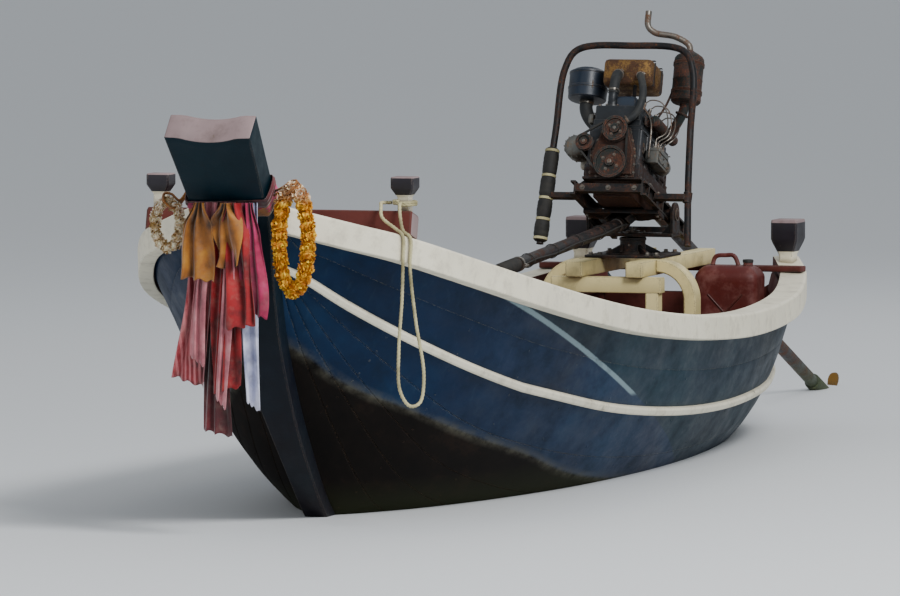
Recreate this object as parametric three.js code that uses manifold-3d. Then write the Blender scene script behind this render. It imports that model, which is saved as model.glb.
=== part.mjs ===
// A small wooden longtail fishing boat, in millimetres.
// +X points to the bow, +Y to port and +Z up.
// The origin lies on the waterline, amidships, on the centreline.
import * as THREE from "three";
import { mergeVertices } from "three/addons/utils/BufferGeometryUtils.js";
import Module from "manifold-3d";

const wasm = await Module();
wasm.setup();

// Driving dimensions of the hull
const GAP = 0.4; // between pieces that touch
const SHELL_GAP = 0.7; // the same against the curved planking
const PLANK = 28; // planking thickness
const RIB_DEPTH = 38;
const RIB_HALF = 21;
const RIB_XS = [-3050, -2500, -1950, -1400, -850, -300, 250, 800, 1350, 1900];
const BILGE_SEAM = 0.4; // place of the lower seam along the section, from keel to sheer
const FLOOR_TOP = -40;
const FLOOR_THICK = 22;

// Hull sections from the stem head to the transom.
// Each has a keel point, a bilge point that rounds the section, and a sheer point.
const HULL = [
  // keelX keelY keelZ, bilgeX bilgeY bilgeZ, sheerX sheerY sheerZ
  [3560, 150, 1290, 3580, 160, 1335, 3600, 166, 1385],
  [3420, 112, 1035, 3400, 235, 1120, 3350, 405, 1300],
  [3210, 82, 765, 3160, 305, 865, 3100, 572, 1230],
  [2850, 58, 378, 2710, 405, 515, 2600, 752, 1102],
  [2390, 45, -20, 2210, 520, 235, 2100, 856, 994],
  [1700, 40, -225, 1500, 640, 45, 1400, 930, 874],
  [700, 40, -288, 630, 740, -90, 600, 958, 774],
  [-400, 40, -300, -400, 770, -145, -400, 948, 694],
  [-1400, 40, -282, -1400, 735, -135, -1400, 900, 656],
  [-2400, 40, -222, -2400, 625, -85, -2400, 806, 674],
  [-3140, 40, -128, -3150, 480, 0, -3180, 645, 732],
  [-3450, 40, -60, -3459, 365, 65, -3560, 505, 795],
];
const LAST = HULL.length - 1;
const STATION_STEP = 0.5; // planking and mouldings have a section at each of these
const SEAM_HALF = 0.5;

// Driving dimensions of the engine and its longtail shaft
const PIVOT = new THREE.Vector3(-2500, 0, 1080); // tilt axis, above the turret
const SHAFT_FALL = THREE.MathUtils.degToRad(19);
const CRANK_Z = 125; // crank axis above the tilt axis
const BED_TOP = 800; // top of the beams under the bearers
const BEARER_TOP = 875;

const PAINT = {
  blue: [0x17406f, 0.55, 0],
  bottom: [0x1c1a17, 0.8, 0],
  cream: [0xe9e2cd, 0.6, 0],
  oxide: [0x6a2c1e, 0.75, 0],
  deck: [0x8a7a5e, 0.85, 0],
  stem: [0x10242f, 0.5, 0],
  tip: [0x231c26, 0.6, 0],
  steel: [0x2a2b2c, 0.5, 0.8],
  rust: [0x5a3a28, 0.8, 0.4],
  brass: [0xa98846, 0.35, 0.9],
  can: [0x7b2a1a, 0.5, 0],
  yellow: [0xe0a81e, 0.8, 0],
  white: [0xe8e0cf, 0.8, 0],
  red: [0xb0122c, 0.7, 0],
  pink: [0xd9858a, 0.7, 0],
  rope: [0xc9c69c, 0.9, 0],
};
const materials = {};
for (const [name, [color, roughness, metalness]] of Object.entries(PAINT))
  materials[name] = new THREE.MeshStandardMaterial({ color, roughness, metalness });

// Solids
function solid(geometry) {
  const bare = geometry.index ? geometry.clone() : geometry;
  const points = new THREE.BufferGeometry().setAttribute("position", bare.getAttribute("position"));
  if (bare.index) points.setIndex(bare.index);
  const merged = mergeVertices(points, 1e-3);
  return new wasm.Manifold(
    new wasm.Mesh({
      numProp: 3,
      vertProperties: new Float32Array(merged.attributes.position.array),
      triVerts: new Uint32Array(merged.index.array),
    }),
  );
}
function geometryOf(manifold) {
  const mesh = manifold.getMesh();
  const position = new Float32Array(mesh.numVert * 3);
  for (let i = 0; i < mesh.numVert; i++)
    position.set(mesh.vertProperties.subarray(i * mesh.numProp, i * mesh.numProp + 3), i * 3);
  const geometry = new THREE.BufferGeometry();
  geometry.setAttribute("position", new THREE.BufferAttribute(position, 3));
  geometry.setIndex(new THREE.BufferAttribute(new Uint32Array(mesh.triVerts), 1));
  const flat = geometry.toNonIndexed();
  flat.computeVertexNormals();
  return flat;
}
const join = (first, ...others) => others.reduce((a, b) => a.add(b), first);
const cut = (first, ...others) => others.reduce((a, b) => a.subtract(b), first);

// Triangles that close a ring: ears where they use every point, or else rungs between its two sides.
function capOf(ring) {
  const n = ring.length;
  const axis = new THREE.Vector3();
  ring.forEach((p, k) => axis.add(new THREE.Vector3().crossVectors(p, ring[(k + 1) % n])));
  axis.normalize();
  const side = new THREE.Vector3().subVectors(ring[1], ring[0]).projectOnPlane(axis).normalize();
  const up = new THREE.Vector3().crossVectors(axis, side);
  const flat = ring.map((p) => new THREE.Vector2(p.dot(side), p.dot(up)));
  const ears = THREE.ShapeUtils.triangulateShape(flat, []);
  if (ears.length === n - 2) return ears;
  return Array.from({ length: n / 2 - 1 }, (_, k) => [
    [k, k + 1, n - 1 - k],
    [k + 1, n - 2 - k, n - 1 - k],
  ]).flat();
}
// A closed loft through rings of points, all with the same count; the ends are capped.
function loft(rings) {
  const n = rings[0].length;
  const vertices = rings.flat();
  const triangles = [];
  for (let r = 0; r + 1 < rings.length; r++)
    for (let k = 0; k < n; k++) {
      const a = r * n + k;
      const b = r * n + ((k + 1) % n);
      triangles.push([a, b, b + n], [a, b + n, a + n]);
    }
  for (const [r, flip] of [[0, true], [rings.length - 1, false]])
    for (const [i, j, k] of capOf(rings[r]))
      triangles.push((flip ? [i, k, j] : [i, j, k]).map((v) => r * n + v));
  return shellOf(vertices, triangles);
}
// A ring of rings, joined end to end.
function closedLoft(rings) {
  const n = rings[0].length;
  const triangles = rings.flatMap((_, r) =>
    range(0, n - 1, n).flatMap((k) => {
      const [a, b] = [r * n + k, r * n + ((k + 1) % n)];
      const next = ((r + 1) % rings.length) * n;
      const [c, d] = [next + ((k + 1) % n), next + k];
      return [[a, b, c], [a, c, d]];
    }),
  );
  return shellOf(rings.flat(), triangles);
}
// A solid from its corners and triangles, turned so that the triangles face outwards.
function shellOf(vertices, triangles) {
  let volume = 0;
  for (const [a, b, c] of triangles)
    volume += vertices[a].dot(new THREE.Vector3().crossVectors(vertices[b], vertices[c]));
  const index = triangles.flatMap(([a, b, c]) => (volume < 0 ? [a, c, b] : [a, b, c]));
  const geometry = new THREE.BufferGeometry();
  geometry.setAttribute(
    "position",
    new THREE.Float32BufferAttribute(vertices.flatMap((p) => [p.x, p.y, p.z]), 3),
  );
  geometry.setIndex(index);
  return solid(geometry);
}
// A box between two corners.
function box(x0, y0, z0, x1, y1, z1) {
  const geometry = new THREE.BoxGeometry(x1 - x0, y1 - y0, z1 - z0);
  geometry.translate((x0 + x1) / 2, (y0 + y1) / 2, (z0 + z1) / 2);
  return solid(geometry);
}
// The same with the corners given for port; side is 1 for port and -1 for starboard.
function sideBox(side, [x0, y0, z0], [x1, y1, z1]) {
  return side > 0 ? box(x0, y0, z0, x1, y1, z1) : box(x0, -y1, z0, x1, -y0, z1);
}
// A round bar between two points, with its own radius at each end.
function bar(from, to, radius, endRadius = radius, sides = 14) {
  const a = new THREE.Vector3(...from);
  const b = new THREE.Vector3(...to);
  const along = new THREE.Vector3().subVectors(b, a);
  const geometry = new THREE.CylinderGeometry(endRadius, radius, along.length(), sides);
  geometry.applyQuaternion(
    new THREE.Quaternion().setFromUnitVectors(new THREE.Vector3(0, 1, 0), along.clone().normalize()),
  );
  geometry.translate(...a.clone().add(b).multiplyScalar(0.5).toArray());
  return solid(geometry);
}
// A tube bent along points, with a regular section.
function bentTube(points, radius, sides = 10, steps = 24) {
  const curve = new THREE.CatmullRomCurve3(points.map((p) => new THREE.Vector3(...p)));
  const shape = new THREE.Shape(
    Array.from({ length: sides }, (_, k) => {
      const angle = (2 * Math.PI * k) / sides;
      return new THREE.Vector2(radius * Math.cos(angle), radius * Math.sin(angle));
    }),
  );
  return solid(new THREE.ExtrudeGeometry(shape, { steps, extrudePath: curve, bevelEnabled: false }));
}
const mirrored = (manifold) => manifold.mirror([0, 1, 0]);

// Hull surface, port side: u runs along the sections and t from keel to sheer.
function sectionValue(u, column) {
  const i = Math.max(0, Math.min(Math.floor(u), LAST - 1));
  const f = u - i;
  const at = (k) => HULL[Math.max(0, Math.min(LAST, k))][column];
  const [a, b, c, d] = [at(i - 1), at(i), at(i + 1), at(i + 2)];
  return b + 0.5 * f * (c - a + f * (2 * a - 5 * b + 4 * c - d + f * (3 * (b - c) + d - a)));
}
const sectionPoint = (u, column) =>
  new THREE.Vector3(sectionValue(u, column), sectionValue(u, column + 1), sectionValue(u, column + 2));
function skin(u, t) {
  const [keel, bilge, sheer] = [0, 3, 6].map((column) => sectionPoint(u, column));
  const low = keel.clone().lerp(bilge, 0.8);
  const high = sheer.clone().lerp(bilge, 0.75);
  return new THREE.CubicBezierCurve3(keel, low, high, sheer).getPoint(t);
}
function outward(u, t) {
  const step = 1e-3;
  const along = new THREE.Vector3().subVectors(skin(u + step, t), skin(u - step, t));
  const up = new THREE.Vector3().subVectors(skin(u, t + step), skin(u, t - step));
  return new THREE.Vector3().crossVectors(along, up).normalize();
}
function hullPoint(u, t, offset = 0) {
  return skin(u, t).addScaledVector(outward(u, t), offset);
}
// The section number where the skin passes a given x.
function sectionAt(x, t = 1) {
  let [low, high] = [0, LAST];
  for (let i = 0; i < 40; i++) {
    const middle = (low + high) / 2;
    if (skin(middle, t).x > x) low = middle;
    else high = middle;
  }
  return low;
}
const range = (from, to, count) =>
  Array.from({ length: count }, (_, i) => from + ((to - from) * i) / (count - 1));

function stations(from, to) {
  const inner = range(0, LAST, LAST / STATION_STEP + 1).filter((u) => u > from + 0.1 && u < to - 0.1);
  return [from, ...inner, to];
}

const girth = (u) => skin(u, 0).distanceTo(skin(u, 0.5)) + skin(u, 0.5).distanceTo(skin(u, 1));
// Seams, as places along the section. The rubbing strake covers the upper one.
const keelSeam = () => 0;
const rubbingDrop = (u) => THREE.MathUtils.lerp(235, 365, Math.min(1, u / 4.5));
const rubbingSeam = (u) => Math.max(0.06, 1 - rubbingDrop(u) / girth(u));
const bilgeSeam = (u) => Math.min(BILGE_SEAM, 0.55 * rubbingSeam(u));
const sheerSeam = () => 1;
// Strips of planking: seams below and above, and the section where each one starts at the stem.
const STRIPS = {
  bottom: { low: keelSeam, high: bilgeSeam, from: 1.25 },
  topside: { low: bilgeSeam, high: rubbingSeam, from: 0.75 },
  sheer: { low: rubbingSeam, high: sheerSeam, from: 0.2 },
};
function planking({ low, high, from }, grow = 0, first = from, last = LAST) {
  const ends = grow > 0 ? 0.01 : 0;
  const us = stations(first, last);
  if (ends) us.unshift(first - ends);
  if (ends) us.push(last + ends);
  return loft(
    us.map((u) => {
      const edge = (SEAM_HALF - grow) / girth(u);
      const start = low === keelSeam ? 0 : low(u) + edge;
      const stop = high(u) - (high === sheerSeam ? -grow / girth(u) : edge);
      const ts = range(start, stop, 4);
      const gap = SEAM_HALF / girth(u);
      const kept = range(low === keelSeam ? 0 : low(u) + gap, high === sheerSeam ? 1 : high(u) - gap, 4);
      kept[0] = ts[0];
      kept[3] = ts[3];
      return [
        ...kept.map((t) => hullPoint(u, t, grow)),
        ...kept.toReversed().map((t) => hullPoint(u, t, -PLANK - grow)),
      ];
    }),
  );
}
// The whole shell a little larger, to trim what lies against it.
const shellCutter = join(...Object.values(STRIPS).map((strip) => planking(strip, SHELL_GAP)));
const shellCutters = [shellCutter, mirrored(shellCutter)];

// The room inside the skin at a given depth, open above, to trim what lies in the hull.
function room(depth, from = 0.4) {
  const ts = range(0, 1, 9);
  return loft(
    stations(from, LAST).map((u) => {
      const side = ts.map((t) => hullPoint(u, t, -depth));
      side.forEach((p) => (p.y = Math.max(p.y, 4)));
      side.push(side[side.length - 1].clone().add(new THREE.Vector3(0, 0, 600)));
      return [...side, ...side.toReversed().map((p) => new THREE.Vector3(p.x, -p.y, p.z))];
    }),
  );
}
// A moulding that follows the skin at t: each profile corner is [outwards, upwards].
function moulding(seam, profile, from, to, lean = 0) {
  return loft(
    stations(from, to).map((u) => {
      const t = seam(u);
      const base = skin(u, t);
      const out = outward(u, t);
      const level = new THREE.Vector3(out.x, out.y, 0).normalize().lerp(out, lean).normalize();
      const along = new THREE.Vector3().subVectors(skin(u + 1e-3, t), skin(u - 1e-3, t));
      const up = new THREE.Vector3().crossVectors(along, level).normalize();
      if (up.z < 0) up.negate();
      return profile.map(([a, b]) => base.clone().addScaledVector(level, a).addScaledVector(up, b));
    }),
  );
}

// Stem and keel, lofted along the profile.
// Columns: x, z, half width, depth outside the plank line, depth inside it
const STEM = [
  [1990, -215, 46, 60, 40],
  [2420, -12, 50, 70, 42],
  [2860, 368, 62, 80, 45],
  [3215, 752, 92, 88, 45],
  [3430, 1030, 126, 92, 45],
  [3585, 1300, 156, 92, 48],
  [3695, 1460, 168, 88, 50],
  [4012, 1775, 192, 74, 62],
];
const KEEL = [
  [-3475, -56, 44, 50, 30],
  [-3140, -128, 44, 66, 30],
  [-2400, -222, 46, 70, 30],
  [-1400, -282, 46, 70, 30],
  [-400, -300, 46, 70, 30],
  [700, -288, 46, 70, 30],
  [1700, -228, 46, 64, 34],
  [1988, -216, 46, 60, 40],
];
function spine(rows, grow = 0) {
  return loft(
    rows.map(([x, z, half, outside, inside], i) => {
      const before = rows[Math.max(0, i - 1)];
      const after = rows[Math.min(rows.length - 1, i + 1)];
      const along = new THREE.Vector3(after[0] - before[0], 0, after[1] - before[1]).normalize();
      const ahead = new THREE.Vector3(along.z, 0, -along.x);
      const end = i === 0 ? -grow : i === rows.length - 1 ? grow : 0;
      const middle = new THREE.Vector3(x, 0, z).addScaledVector(along, end);
      return [[1, 1], [1, -1], [-1, -1], [-1, 1]].map(([front, side]) =>
        middle
          .clone()
          .addScaledVector(ahead, front > 0 ? outside + grow : -inside - grow)
          .setY(side * (half + grow)),
      );
    }),
  );
}
const HEAD = STEM[STEM.length - 1];
function stemBoard() {
  const notchRadius = 330;
  const rise = notchRadius - 26; // leaves a hollow 26 deep between two horns
  const below = STEM[STEM.length - 2];
  const along = new THREE.Vector3(HEAD[0] - below[0], 0, HEAD[1] - below[1]).normalize();
  const ahead = new THREE.Vector3(along.z, 0, -along.x);
  const centre = new THREE.Vector3(HEAD[0], 0, HEAD[1]).addScaledVector(along, rise);
  const notch = bar(
    centre.clone().addScaledVector(ahead, 200).toArray(),
    centre.clone().addScaledVector(ahead, -200).toArray(),
    notchRadius,
    notchRadius,
    64,
  );
  return cut(spine(STEM), notch);
}

const group = new THREE.Group();
function add(name, manifold, paint, parent = group) {
  const mesh = new THREE.Mesh(geometryOf(manifold), materials[paint]);
  mesh.name = name;
  parent.add(mesh);
  return mesh;
}
function addPair(name, manifold, paint, ...cutters) {
  add(name + "_port", cut(manifold, ...cutters), paint);
  add(name + "_starboard", cut(mirrored(manifold), ...cutters), paint);
}

const stemGrown = spine(STEM, GAP);
const keelGrown = spine(KEEL, GAP);
add("stem_board", stemBoard(), "stem");
add("keel", cut(spine(KEEL), stemGrown), "bottom");

// Shell; the long strips are butted amidships
const BUTT = 7; // section number of the butt
const BUTT_HALF = 0.0005;
const BUTTED = [["bottom", STRIPS.bottom, "bottom"], ["topside", STRIPS.topside, "blue"]];
for (const [name, strip, paint] of BUTTED) {
  const fore = planking(strip, 0, strip.from, BUTT - BUTT_HALF);
  addPair(name + "_planking_fore", fore, paint, stemGrown, keelGrown);
  addPair(name + "_planking_aft", planking(strip, 0, BUTT + BUTT_HALF), paint, keelGrown);
}
addPair("sheer_planking", planking(STRIPS.sheer), "blue", stemGrown);

// Transom, dished on top so that the shaft passes over it
const TRANSOM_THICK = 36;
function transom() {
  const outline = range(0, 1, 9).map((t) => hullPoint(LAST, t));
  const top = outline[outline.length - 1];
  const dish = [[452, 4], [385, -118], [190, -150]].map(
    ([y, z]) => new THREE.Vector3(top.x, y, top.z + z),
  );
  const half = [...outline, ...dish];
  const ring = [...half, ...half.toReversed().map((p) => new THREE.Vector3(p.x, -p.y, p.z))];
  const rake = (HULL[LAST][6] - HULL[LAST][0]) / (HULL[LAST][8] - HULL[LAST][2]);
  const rakeAt = (z) => HULL[LAST][0] - GAP + (z - HULL[LAST][2]) * rake;
  return loft(
    [0, TRANSOM_THICK].map((back) => ring.map((p) => new THREE.Vector3(rakeAt(p.z) - back, p.y, p.z))),
  );
}
const transomSolid = transom();
const transomGrown = join(transomSolid.translate([GAP, 0, 0]), transomSolid.translate([0, 0, GAP]));
add("transom", cut(transomSolid, keelGrown), "blue");

// Gunwale and rubbing strake
const RAIL_OUT = 45;
const RAIL_IN = -88;
const RAIL_TOP = 36;
const RAIL_UNDER = -14;
// The rail's section, grown all round; its back lies inside the planking until it is trimmed.
const railSection = (grow) => [
  [-10, -82 - grow],
  [RAIL_OUT + grow, -78 - grow],
  [RAIL_OUT + grow, RAIL_TOP - 8],
  [RAIL_OUT - 10, RAIL_TOP + grow],
  [RAIL_IN - grow, RAIL_TOP + grow],
  [RAIL_IN - grow, RAIL_UNDER - grow],
  [-10, RAIL_UNDER - grow],
];
const rail = moulding(sheerSeam, railSection(0), 0.02, LAST);
const railGrown = moulding(sheerSeam, railSection(SHELL_GAP), 0.02, LAST);
const railCutters = [railGrown, mirrored(railGrown)];
addPair("gunwale", rail, "cream", stemGrown, transomGrown, ...shellCutters);
const strakeProfile = [
  [2.4, -20],
  [24, -14],
  [24, 14],
  [2.4, 20],
];
const strake = moulding(rubbingSeam, strakeProfile, 0.5, LAST, 1);
addPair("rub_strake", strake, "cream", stemGrown);

// Ribs on one side, joined by the inwale
const INSIDE = PLANK - 2; // trimmed back to the shell afterwards
function ribs(from, to) {
  const inwaleTs = [0.9, 0.965];
  const inwale = loft(
    stations(from, to).map((u) => [
      hullPoint(u, inwaleTs[0], -INSIDE - 28),
      hullPoint(u, inwaleTs[1], -INSIDE - 28),
      hullPoint(u, inwaleTs[1], -INSIDE - 56),
      hullPoint(u, inwaleTs[0], -INSIDE - 56),
    ]),
  );
  const held = RIB_XS.filter((x) => sectionAt(x) > from && sectionAt(x) < to);
  const bent = held.map((x) => {
    const middle = sectionAt(x);
    const spread = RIB_HALF / Math.abs(skin(middle + 0.5, 1).x - skin(middle - 0.5, 1).x);
    const lowest = range(0, 1, 101).find(
      (t) => hullPoint(middle, t, -INSIDE).z > FLOOR_TOP - FLOOR_THICK + 6,
    );
    return loft(
      range(lowest, 0.975, 6).map((t) => [
        hullPoint(middle - spread, t, -INSIDE),
        hullPoint(middle + spread, t, -INSIDE),
        hullPoint(middle + spread, t, -INSIDE - RIB_DEPTH),
        hullPoint(middle - spread, t, -INSIDE - RIB_DEPTH),
      ]),
    );
  });
  return join(inwale, ...bent);
}
const INWALE_BUTT = sectionAt(-575);
const RIB_RUNS = [["fore", 0.9, INWALE_BUTT - BUTT_HALF], ["aft", INWALE_BUTT + BUTT_HALF, LAST - 0.03]];
for (const [name, from, to] of RIB_RUNS) {
  const cutters = [...shellCutters, ...railCutters, stemGrown, transomGrown];
  addPair("ribs_" + name, ribs(from, to), "oxide", ...cutters);
}

// Floor timbers on a keelson, and the boards on them
const CLEAR_OF_RIBS = INSIDE + RIB_DEPTH + 3;
const trimmer = room(INSIDE);
const ribTrimmer = room(CLEAR_OF_RIBS);
function floorTimbers() {
  const top = FLOOR_TOP - FLOOR_THICK - GAP;
  const timbers = RIB_XS.slice(0, 9).map((x) =>
    box(x - RIB_HALF, -620, -340, x + RIB_HALF, 620, top).intersect(trimmer),
  );
  const keelson = box(-3090, -45, -340, 1500, 45, top - 16).intersect(trimmer);
  return cut(join(keelson, ...timbers), keelGrown, ...shellCutters);
}
add("floor_timbers", floorTimbers(), "oxide");
const floorBlank = box(-2480, -700, FLOOR_TOP - FLOOR_THICK, 1560, 700, FLOOR_TOP);
add("floorboards", floorBlank.intersect(ribTrimmer), "deck");

// Decks and thwarts
function slopingDeck(x0, z0, x1, z1, thick) {
  const corner = (x, z, side) => new THREE.Vector3(x, side * 1000, z);
  return loft([-1, 1].map((side) => [
    corner(x0, z0, side),
    corner(x1, z1, side),
    corner(x1, z1 - thick, side),
    corner(x0, z0 - thick, side),
  ]));
}
const bowDeck = slopingDeck(2020, 740, 3330, 1105, 24).intersect(room(CLEAR_OF_RIBS + 25, 0.2));
add("bow_deck", cut(bowDeck, stemGrown), "oxide");
const STERN_DECK_TOP = 400;
const STERN_DECK_FRONT = -1950;
const sternDeck = slopingDeck(-3600, STERN_DECK_TOP, STERN_DECK_FRONT, STERN_DECK_TOP, 24);
add("stern_deck", sternDeck.intersect(ribTrimmer), "oxide");
for (const [name, x, top] of [["thwart_fore", 1080, 470], ["thwart_middle", -570, 375]])
  add(name, box(x - 115, -1000, top - 34, x + 115, 1000, top).intersect(ribTrimmer), "oxide");

// Crossbeams that rest on the gunwales
function crossbeam(x, width, top) {
  const rail = skin(sectionAt(x), 1);
  const low = Math.max(...[-width / 2, width / 2].map((d) => skin(sectionAt(x + d), 1).z)) + RAIL_TOP + 2;
  const reach = rail.y + 30;
  return cut(box(x - width / 2, -reach, low - 6, x + width / 2, reach, top), ...railCutters);
}
const BEAM_FRONT_X = -2060;
const BEAM_STERN_X = -3200;
function trestle(x, half) {
  const legs = [-1, 1].map((side) =>
    box(x - half, side * 230 - 32, STERN_DECK_TOP + GAP, x + half, side * 230 + 32, BED_TOP - 10),
  );
  return join(box(x - half, -275, BED_TOP - 75, x + half, 275, BED_TOP), ...legs);
}
add("engine_trestle", trestle(BEAM_FRONT_X, 40), "cream");
add("engine_beam_stern", crossbeam(BEAM_STERN_X, 90, BED_TOP), "oxide");

// Bow crossbeam and its mooring posts, tilted with the sheer
const BOW_BEAM_X = 3045;
const BOW_BEAM_HALF = 56;
const BOW_BEAM_TALL = 108;
const BOW_BEAM_REACH = 603;
const bowBeamU = sectionAt(BOW_BEAM_X);
const sheerFall = (() => {
  const a = skin(bowBeamU - 0.15, 1);
  const b = skin(bowBeamU + 0.15, 1);
  return Math.atan2(a.z - b.z, a.x - b.x);
})();
const bowBeam = new THREE.Group();
bowBeam.position.set(BOW_BEAM_X, 0, skin(bowBeamU, 1).z + RAIL_TOP + 7);
bowBeam.rotation.y = -sheerFall;
group.add(bowBeam);
bowBeam.updateMatrixWorld(true);
const railsFromBeam = railCutters.map((m) => m.transform(bowBeam.matrixWorld.clone().invert().elements));
const bowBeamBox = box(-BOW_BEAM_HALF, -BOW_BEAM_REACH, -4, BOW_BEAM_HALF, BOW_BEAM_REACH, BOW_BEAM_TALL);
add("bow_crossbeam", cut(bowBeamBox, ...railsFromBeam), "oxide", bowBeam);

// A mooring post: a stalk that flares to a painted head. Its foot is at the origin.
function mooringPost(stalk, neck, head, tall, flat = 1) {
  const ring = (half, z) =>
    [[1, 1], [-1, 1], [-1, -1], [1, -1]].map(([a, b]) => new THREE.Vector3(a * half, b * half * flat, z));
  const shoulder = neck + (tall - neck) * 0.45;
  return loft([ring(stalk, 0), ring(stalk, neck), ring(head, shoulder), ring(head, tall)]);
}
const BOW_POST_Y = 555;
const BOW_POST_HALF = 27;
const beamGrown = box(-200, -700, -200, 200, 700, BOW_BEAM_TALL + GAP)
  .transform(bowBeam.matrixWorld.elements);
const bowPostFoot = new THREE.Vector3(0, BOW_POST_Y, BOW_BEAM_TALL).applyMatrix4(bowBeam.matrixWorld);
const bowPost = cut(
  mooringPost(BOW_POST_HALF, 95, 52, 180).translate([bowPostFoot.x, bowPostFoot.y, bowPostFoot.z - 22]),
  beamGrown,
);
addPair("bow_post", bowPost, "cream");
const STERN_POST_X = -3440;
const sternRail = skin(sectionAt(STERN_POST_X), 1);
for (const [side, name] of [[1, "port"], [-1, "starboard"]]) {
  const at = [STERN_POST_X, side * (sternRail.y - 30), sternRail.z + RAIL_TOP - 6];
  add("stern_post_" + name, cut(mooringPost(44, 40, 84, 215, 0.8).translate(at), ...railCutters), "tip");
}

// Engine bed: bearers on the crossbeams, knees down to the stern deck, and the turret
const BEARER_Y = 150;
const BEARER_HALF = 42;
function bearer() {
  return box(-3310, BEARER_Y - BEARER_HALF, BED_TOP + GAP, -1985, BEARER_Y + BEARER_HALF, BEARER_TOP);
}
addPair("engine_bearer", bearer(), "cream");
function knee() {
  const [inner, thick, half, stern] = [136, 60, 50, -2330];
  const centre = new THREE.Vector2(BEARER_Y + BEARER_HALF + 3, BEARER_TOP - inner - thick);
  const outer = inner + thick;
  const turn = range(Math.PI / 2, 0, 9);
  const section = [
    ...turn.map((a) => [centre.x + outer * Math.cos(a), centre.y + outer * Math.sin(a)]),
    [centre.x + outer, STERN_DECK_TOP + GAP],
    [centre.x + inner, STERN_DECK_TOP + GAP],
    ...turn.toReversed().map((a) => [centre.x + inner * Math.cos(a), centre.y + inner * Math.sin(a)]),
  ];
  return loft([stern, stern + 2 * half].map((x) => section.map(([y, z]) => new THREE.Vector3(x, y, z))));
}
addPair("bed_knee", knee(), "cream");
const TURRET_RADIUS = 62;
const TURRET_TOP = 968;
function turretBase() {
  const plate = box(PIVOT.x - 190, -190, BEARER_TOP + GAP, PIVOT.x + 190, 190, BEARER_TOP + 14);
  const [foot, head] = [[PIVOT.x, 0, BEARER_TOP + 8], [PIVOT.x, 0, TURRET_TOP]];
  const tube = bar(foot, head, TURRET_RADIUS, TURRET_RADIUS, 24);
  const ribsAround = [0, 90].map((turn) =>
    box(-150, -7, BEARER_TOP + 8, 150, 7, BEARER_TOP + 60)
      .rotate([0, 0, turn + 45])
      .translate([PIVOT.x, 0, 0]),
  );
  return join(plate, tube, ...ribsAround);
}
add("turret_base", turretBase(), "steel");

// Swivel yoke, which turns on the turret
const YOKE_ARM_Y = 205;
const YOKE_ARM_THICK = 14;
const PIN_RADIUS = 20;
const PIN_END = YOKE_ARM_Y + YOKE_ARM_THICK + 12;
function yoke() {
  const low = TURRET_TOP + 6;
  const reach = YOKE_ARM_Y + YOKE_ARM_THICK;
  const plate = box(PIVOT.x - 75, -reach, low, PIVOT.x + 75, reach, low + 16);
  const arms = [-1, 1].map((side) => {
    const y0 = side > 0 ? YOKE_ARM_Y : -YOKE_ARM_Y - YOKE_ARM_THICK;
    const arm = join(
      box(PIVOT.x - 60, y0, low + 8, PIVOT.x + 60, y0 + YOKE_ARM_THICK, PIVOT.z),
      bar([PIVOT.x, y0, PIVOT.z], [PIVOT.x, y0 + YOKE_ARM_THICK, PIVOT.z], 60, 60, 24),
    );
    const [from, to] = [[PIVOT.x, y0 - 5, PIVOT.z], [PIVOT.x, y0 + 30, PIVOT.z]];
    return cut(arm, bar(from, to, PIN_RADIUS + 1, PIN_RADIUS + 1, 24));
  });
  return join(plate, ...arms);
}
add("swivel_yoke", yoke(), "steel");

// Engine frame: everything below turns about the tilt axis. Its X runs up along the crank and shaft.
const engine = new THREE.Group();
engine.position.copy(PIVOT);
engine.rotation.y = -SHAFT_FALL;
group.add(engine);
engine.updateMatrixWorld(true);
const inEngine = (x, y, z) => engine.worldToLocal(new THREE.Vector3(x, y, z)).toArray();

const CRADLE_Y = 165;
const CRADLE_BACK = -330;
const CRADLE_FRONT = 460;
function cradle() {
  const rails = [-1, 1].map((side) =>
    sideBox(side, [CRADLE_BACK, CRADLE_Y, -34], [CRADLE_FRONT, CRADLE_Y + 26, 34]),
  );
  const crosses = [[CRADLE_BACK, CRADLE_BACK + 45], [CRADLE_FRONT - 45, CRADLE_FRONT]].map(([a, b]) =>
    box(a, -CRADLE_Y - 20, -20, b, CRADLE_Y + 20, 20),
  );
  const pins = [-1, 1].map((side) =>
    bar([0, side * (CRADLE_Y + 20), 0], [0, side * PIN_END, 0], PIN_RADIUS, PIN_RADIUS, 24),
  );
  return join(...rails, ...crosses, ...pins);
}
add("cradle", cradle(), "steel", engine);

const BLOCK_BACK = -70;
const BLOCK_FRONT = 420;
const BLOCK_TOP = CRANK_Z + 200;
function engineBlock() {
  const block = box(BLOCK_BACK, -130, CRANK_Z - 40, BLOCK_FRONT, 130, BLOCK_TOP);
  const skirt = box(BLOCK_BACK, -148, CRANK_Z - 70, BLOCK_FRONT, 148, CRANK_Z + 10);
  const sump = box(BLOCK_BACK + 20, -110, CRANK_Z - 150, BLOCK_FRONT - 30, 110, CRANK_Z - 60);
  const feet = [-1, 1].flatMap((side) =>
    [0, 330].map((x) =>
      sideBox(side, [x - 30, 120, 34 + GAP], [x + 30, 188, CRANK_Z - 50]),
    ),
  );
  return join(block, skirt, sump, ...feet, ...blockFittings());
}
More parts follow.
